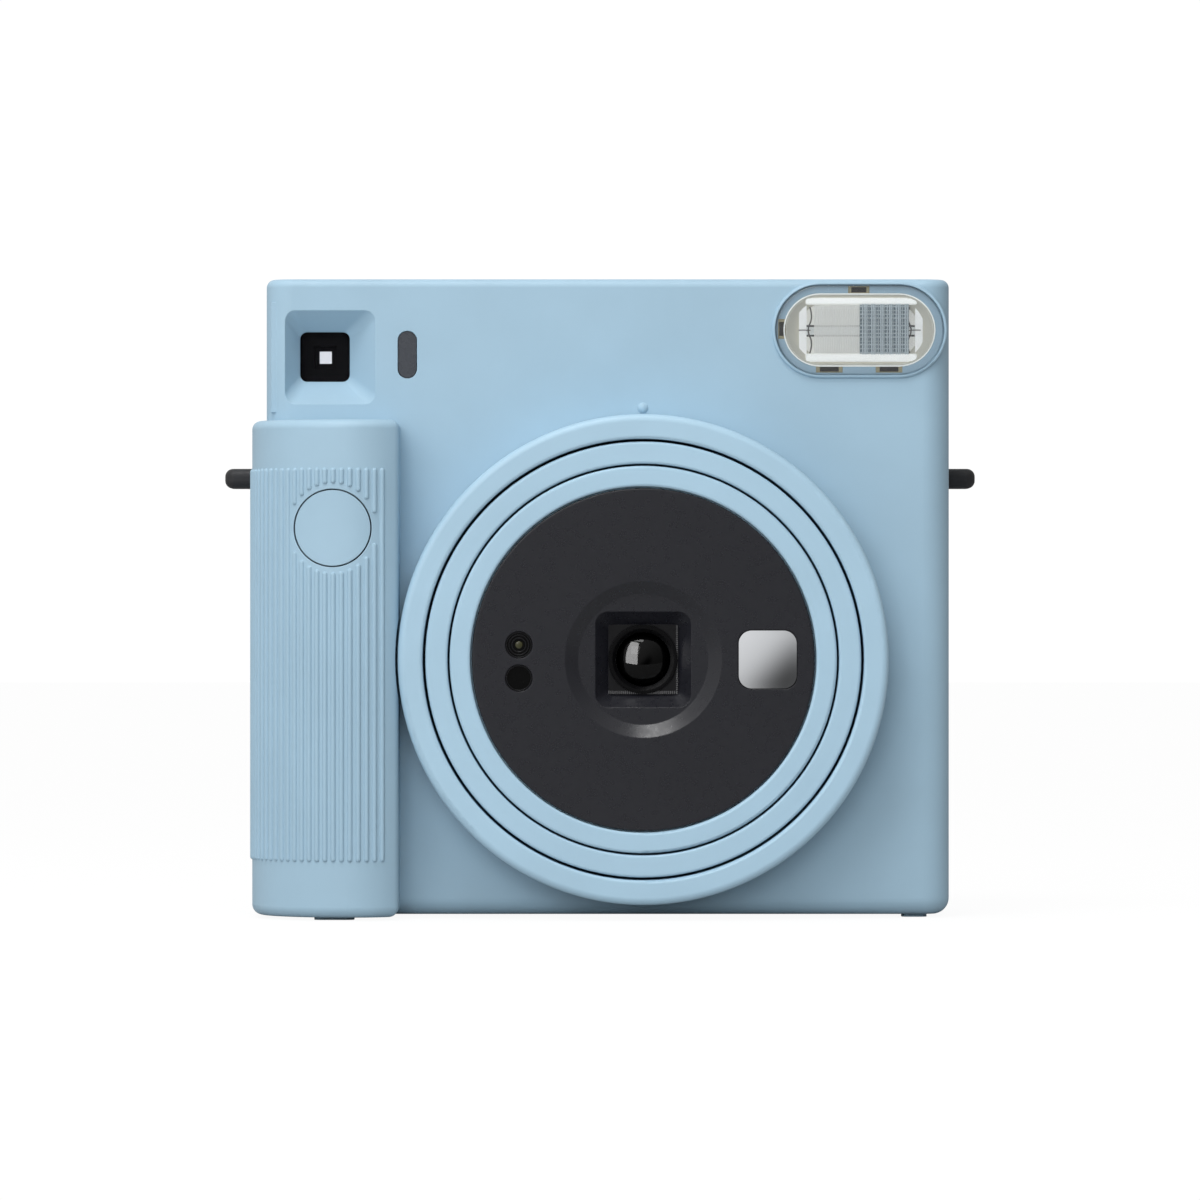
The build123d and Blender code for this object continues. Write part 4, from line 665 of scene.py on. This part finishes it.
def add_lens_ridges(shape):
    """The fine ridged step along the plate's lower and right edges, a lighter grey than the plate: a painted
    highlight on the edges that face the light.
    """
    pitch = 2 * SURROUND_HALF / RIDGE_COUNT
    width = RIDGE_SHARE * pitch
    left = LENS_AXIS.x - SURROUND_HALF
    right = LENS_AXIS.x + SURROUND_HALF
    bottom = LENS_AXIS.z - SURROUND_HALF
    for ridge in range(RIDGE_COUNT):
        start = ridge * pitch
        low = (left + start, SURROUND_FRONT - 0.28 * MM, bottom)
        high = (left + start + width, SURROUND_FRONT, bottom + 0.6 * MM)
        add_box(shape, low, high)
        low = (right - 0.35 * MM, SURROUND_FRONT - 0.22 * MM, bottom + start)
        high = (right, SURROUND_FRONT, bottom + start + width)
        add_box(shape, low, high)


# Counter numerals

NUMERAL_SIZE = 3.4 * MM
NUMERAL_DEPTH = 0.02 * MM
NUMERAL_PITCH = math.radians(30)
FRAME_COUNT = 10
FACING_BACK = Matrix.Rotation(math.pi, 4, "Z") @ Matrix.Rotation(math.pi / 2, 4, "X")


def make_counter_numerals():
    """Numbers 0 to 10 round the dial, upright as each one reaches the window."""
    radius = middle("counter_window").z - DIAL_CENTRE.z
    dial = Vector((DIAL_CENTRE.x, DIAL_BACK + 0.04 * MM, DIAL_CENTRE.z))
    for count in range(FRAME_COUNT + 1):
        angle = -NUMERAL_PITCH * count
        curve = bpy.data.curves.new(f"numeral_{count}", "FONT")
        curve.body = str(count)
        curve.size = NUMERAL_SIZE
        curve.extrude = NUMERAL_DEPTH
        curve.align_x = "CENTER"
        curve.align_y = "CENTER"
        curve.materials.append(MATERIALS["black"])
        piece = bpy.data.objects.new(f"counter_numeral_{count}", curve)
        bpy.context.scene.collection.objects.link(piece)
        offset = Vector((math.sin(angle), 0, math.cos(angle))) * radius
        turn = Matrix.Rotation(angle, 4, "Y")
        piece.matrix_world = Matrix.Translation(dial + offset) @ turn @ FACING_BACK
        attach(piece, "counter_dial")


# Stage, light and camera

WORLD_LOW = 0.26
WORLD_HIGH = 0.8
WORLD_SEEN = 1.02
DARK_CONE = 0.8
DARK_START = -0.6
DARK_END = 0.3
DARK_LEVEL = 0.95
FLOOR_SEEN = 0.85
FLOOR_GLOW = 1.1
FLOOR_REACH = 4.0
FLOOR_FRONT = -0.18


def make_floor():
    """A pale floor, lightened where it is seen directly so that it meets the white world without an edge."""
    made = Shader("pale_floor")
    pale = made.mix(made.noise(4.0), (0.42, 0.42, 0.42), (0.44, 0.44, 0.44))
    made.link(pale, made.surface.inputs["Base Color"])
    made.set(Roughness=0.8, Specular_IOR_Level=0.1)
    glow = made.node("ShaderNodeEmission")
    glow.inputs["Strength"].default_value = FLOOR_GLOW
    rays = made.node("ShaderNodeLightPath")
    amount = made.spread(rays.outputs["Is Camera Ray"], 0.0, FLOOR_SEEN, 0.0, 1.0)
    both = made.node("ShaderNodeMixShader")
    made.link(amount, both.inputs["Fac"])
    made.link(made.surface.outputs["BSDF"], both.inputs[1])
    made.link(glow.outputs["Emission"], both.inputs[2])
    made.link(both.outputs["Shader"], made.tree.nodes["Material Output"].inputs["Surface"])
    mesh = bpy.data.meshes.new("floor")
    corners = [(-FLOOR_REACH, FLOOR_FRONT, 0), (FLOOR_REACH, FLOOR_FRONT, 0),
               (FLOOR_REACH, FLOOR_REACH, 0), (-FLOOR_REACH, FLOOR_REACH, 0)]
    mesh.from_pydata(corners, [], [(0, 1, 2, 3)])
    mesh.materials.append(made.material)
    floor = bpy.data.objects.new("floor", mesh)
    bpy.context.scene.collection.objects.link(floor)


class WorldMaths:
    """Short calls for the sums in the world's shader."""

    def __init__(self, tree):
        self.tree = tree
        place = tree.nodes.new("ShaderNodeTexCoord")
        parts = tree.nodes.new("ShaderNodeSeparateXYZ")
        tree.links.new(place.outputs["Generated"], parts.inputs["Vector"])
        self.direction = parts.outputs

    def ramp(self, value, start, end, low, high):
        """Map start to end onto low to high along a smooth step."""
        made = self.tree.nodes.new("ShaderNodeMapRange")
        made.interpolation_type = "SMOOTHSTEP"
        for name, number in (("From Min", start), ("From Max", end), ("To Min", low), ("To Max", high)):
            made.inputs[name].default_value = number
        self.tree.links.new(value, made.inputs["Value"])
        return made.outputs["Result"]

    def combine(self, operation, first, second):
        made = self.tree.nodes.new("ShaderNodeMath")
        made.operation = operation
        self.tree.links.new(first, made.inputs[0])
        self.tree.links.new(second, made.inputs[1])
        return made.outputs["Value"]

    def background(self, strength):
        made = self.tree.nodes.new("ShaderNodeBackground")
        made.inputs["Color"].default_value = (1.0, 1.0, 1.0, 1.0)
        if isinstance(strength, float):
            made.inputs["Strength"].default_value = strength
        else:
            self.tree.links.new(strength, made.inputs["Strength"])
        return made.outputs["Background"]


def make_world():
    """A white studio, brighter towards the upper left, with a dark patch low behind the camera."""
    world = bpy.data.worlds.new("studio")
    world.use_nodes = True
    tree = world.node_tree
    tree.nodes.clear()
    maths = WorldMaths(tree)
    slope = maths.combine("SUBTRACT", maths.direction["Z"], maths.direction["X"])
    general = maths.ramp(slope, -1.0, 1.0, WORLD_LOW, WORLD_HIGH)
    beside = maths.ramp(maths.direction["Y"], -1.0, -DARK_CONE, DARK_LEVEL, 0.0)
    below = maths.ramp(slope, DARK_START, DARK_END, 1.0, 0.0)
    shade_off = maths.combine("MULTIPLY", beside, below)
    lit = maths.ramp(shade_off, 0.0, 1.0, 1.0, 0.0)
    soft = maths.background(maths.combine("MULTIPLY", general, lit))
    seen = maths.background(WORLD_SEEN)
    rays = tree.nodes.new("ShaderNodeLightPath")
    both = tree.nodes.new("ShaderNodeMixShader")
    tree.links.new(rays.outputs["Is Camera Ray"], both.inputs["Fac"])
    tree.links.new(soft, both.inputs[1])
    tree.links.new(seen, both.inputs[2])
    output = tree.nodes.new("ShaderNodeOutputWorld")
    tree.links.new(both.outputs["Shader"], output.inputs["Surface"])
    bpy.context.scene.world = world
    bpy.context.scene.view_settings.view_transform = "Standard"


def make_area_light(name, place, size, power, target):
    """A soft box of that width and height at a place, turned to the target."""
    light = bpy.data.lights.new(name, "AREA")
    light.shape = "RECTANGLE"
    light.size = size[0]
    light.size_y = size[1]
    light.energy = power
    lamp = bpy.data.objects.new(name, light)
    lamp.location = place
    lamp.rotation_euler = (Vector(target) - Vector(place)).to_track_quat("-Z", "Y").to_euler()
    bpy.context.scene.collection.objects.link(lamp)
    return lamp


def light_only(lamp, names):
    """Let a lamp light only the named nodes, as a small flag and reflector would in a studio."""
    lit = bpy.data.collections.new(lamp.name + "_receivers")
    for name in names:
        lit.objects.link(NODES[name])
    lamp.light_linking.receiver_collection = lit


CAMERA_DISTANCE = 1.41275
CAMERA_HEIGHT = 0.0593
SENSOR_WIDTH = 36.0
FOCAL_LENGTH = 225.1


def make_camera():
    """A long lens, level and square on to the front."""
    data = bpy.data.cameras.new("camera")
    data.sensor_width = SENSOR_WIDTH
    data.lens = FOCAL_LENGTH
    camera = bpy.data.objects.new("camera", data)
    camera.location = (0, -CAMERA_DISTANCE, CAMERA_HEIGHT)
    camera.rotation_euler = (math.pi / 2, 0, 0)
    bpy.context.scene.collection.objects.link(camera)
    bpy.context.scene.camera = camera


finish_nodes()
new_piece("flash_cup", add_flash_cup, "cup", "root")
new_piece("flash_seat", add_flash_seat, "seat", "root")
new_piece("clip_frames", add_clip_frames, "clip_frame", "root")
new_piece("clip_middles", add_clip_middles, "clip_dark", "root")
new_piece("flash_rim", add_flash_rim, "rim", "root")
new_piece("flash_bars", add_flash_bars, "cream", "root")
new_piece("flash_ribs", add_flash_ribs, "streak", "root")
new_piece("flash_grid", add_flash_grid, "grid", "root")
new_piece("flash_panel", add_flash_panel, "panel", "root")
make_tube_wires()
new_piece("lens_surround", add_lens_surround, "plate", "inner_barrel")
new_piece("lens_ridges", add_lens_ridges, "ridge", "inner_barrel")
new_piece("sensor_rings", add_sensor_rings, "plate", "inner_barrel")
new_piece("sensor_bead", add_sensor_bead, "olive", "inner_barrel")
make_counter_numerals()
make_floor()
make_world()
make_area_light("top_box", (-0.12, -0.30, 0.70), (0.34, 0.24), 2.15, (0.0, 0.0, 0.05))
make_area_light("left_box", (-0.26, -0.55, 0.36), (0.3, 0.3), 0.85, (0.0, 0.0, 0.06))
fill = make_area_light("front_fill", (-0.06, -0.75, 0.16), (0.3, 0.3), 1.25, (-0.05, 0.0, 0.06))
fill.visible_glossy = False
window = make_area_light("window_box", (-0.34, -0.50, 0.048), (0.40, 1.5), 34.0, (0.0, -0.02, 0.048))
light_only(window, ["front_lens"])
make_camera()
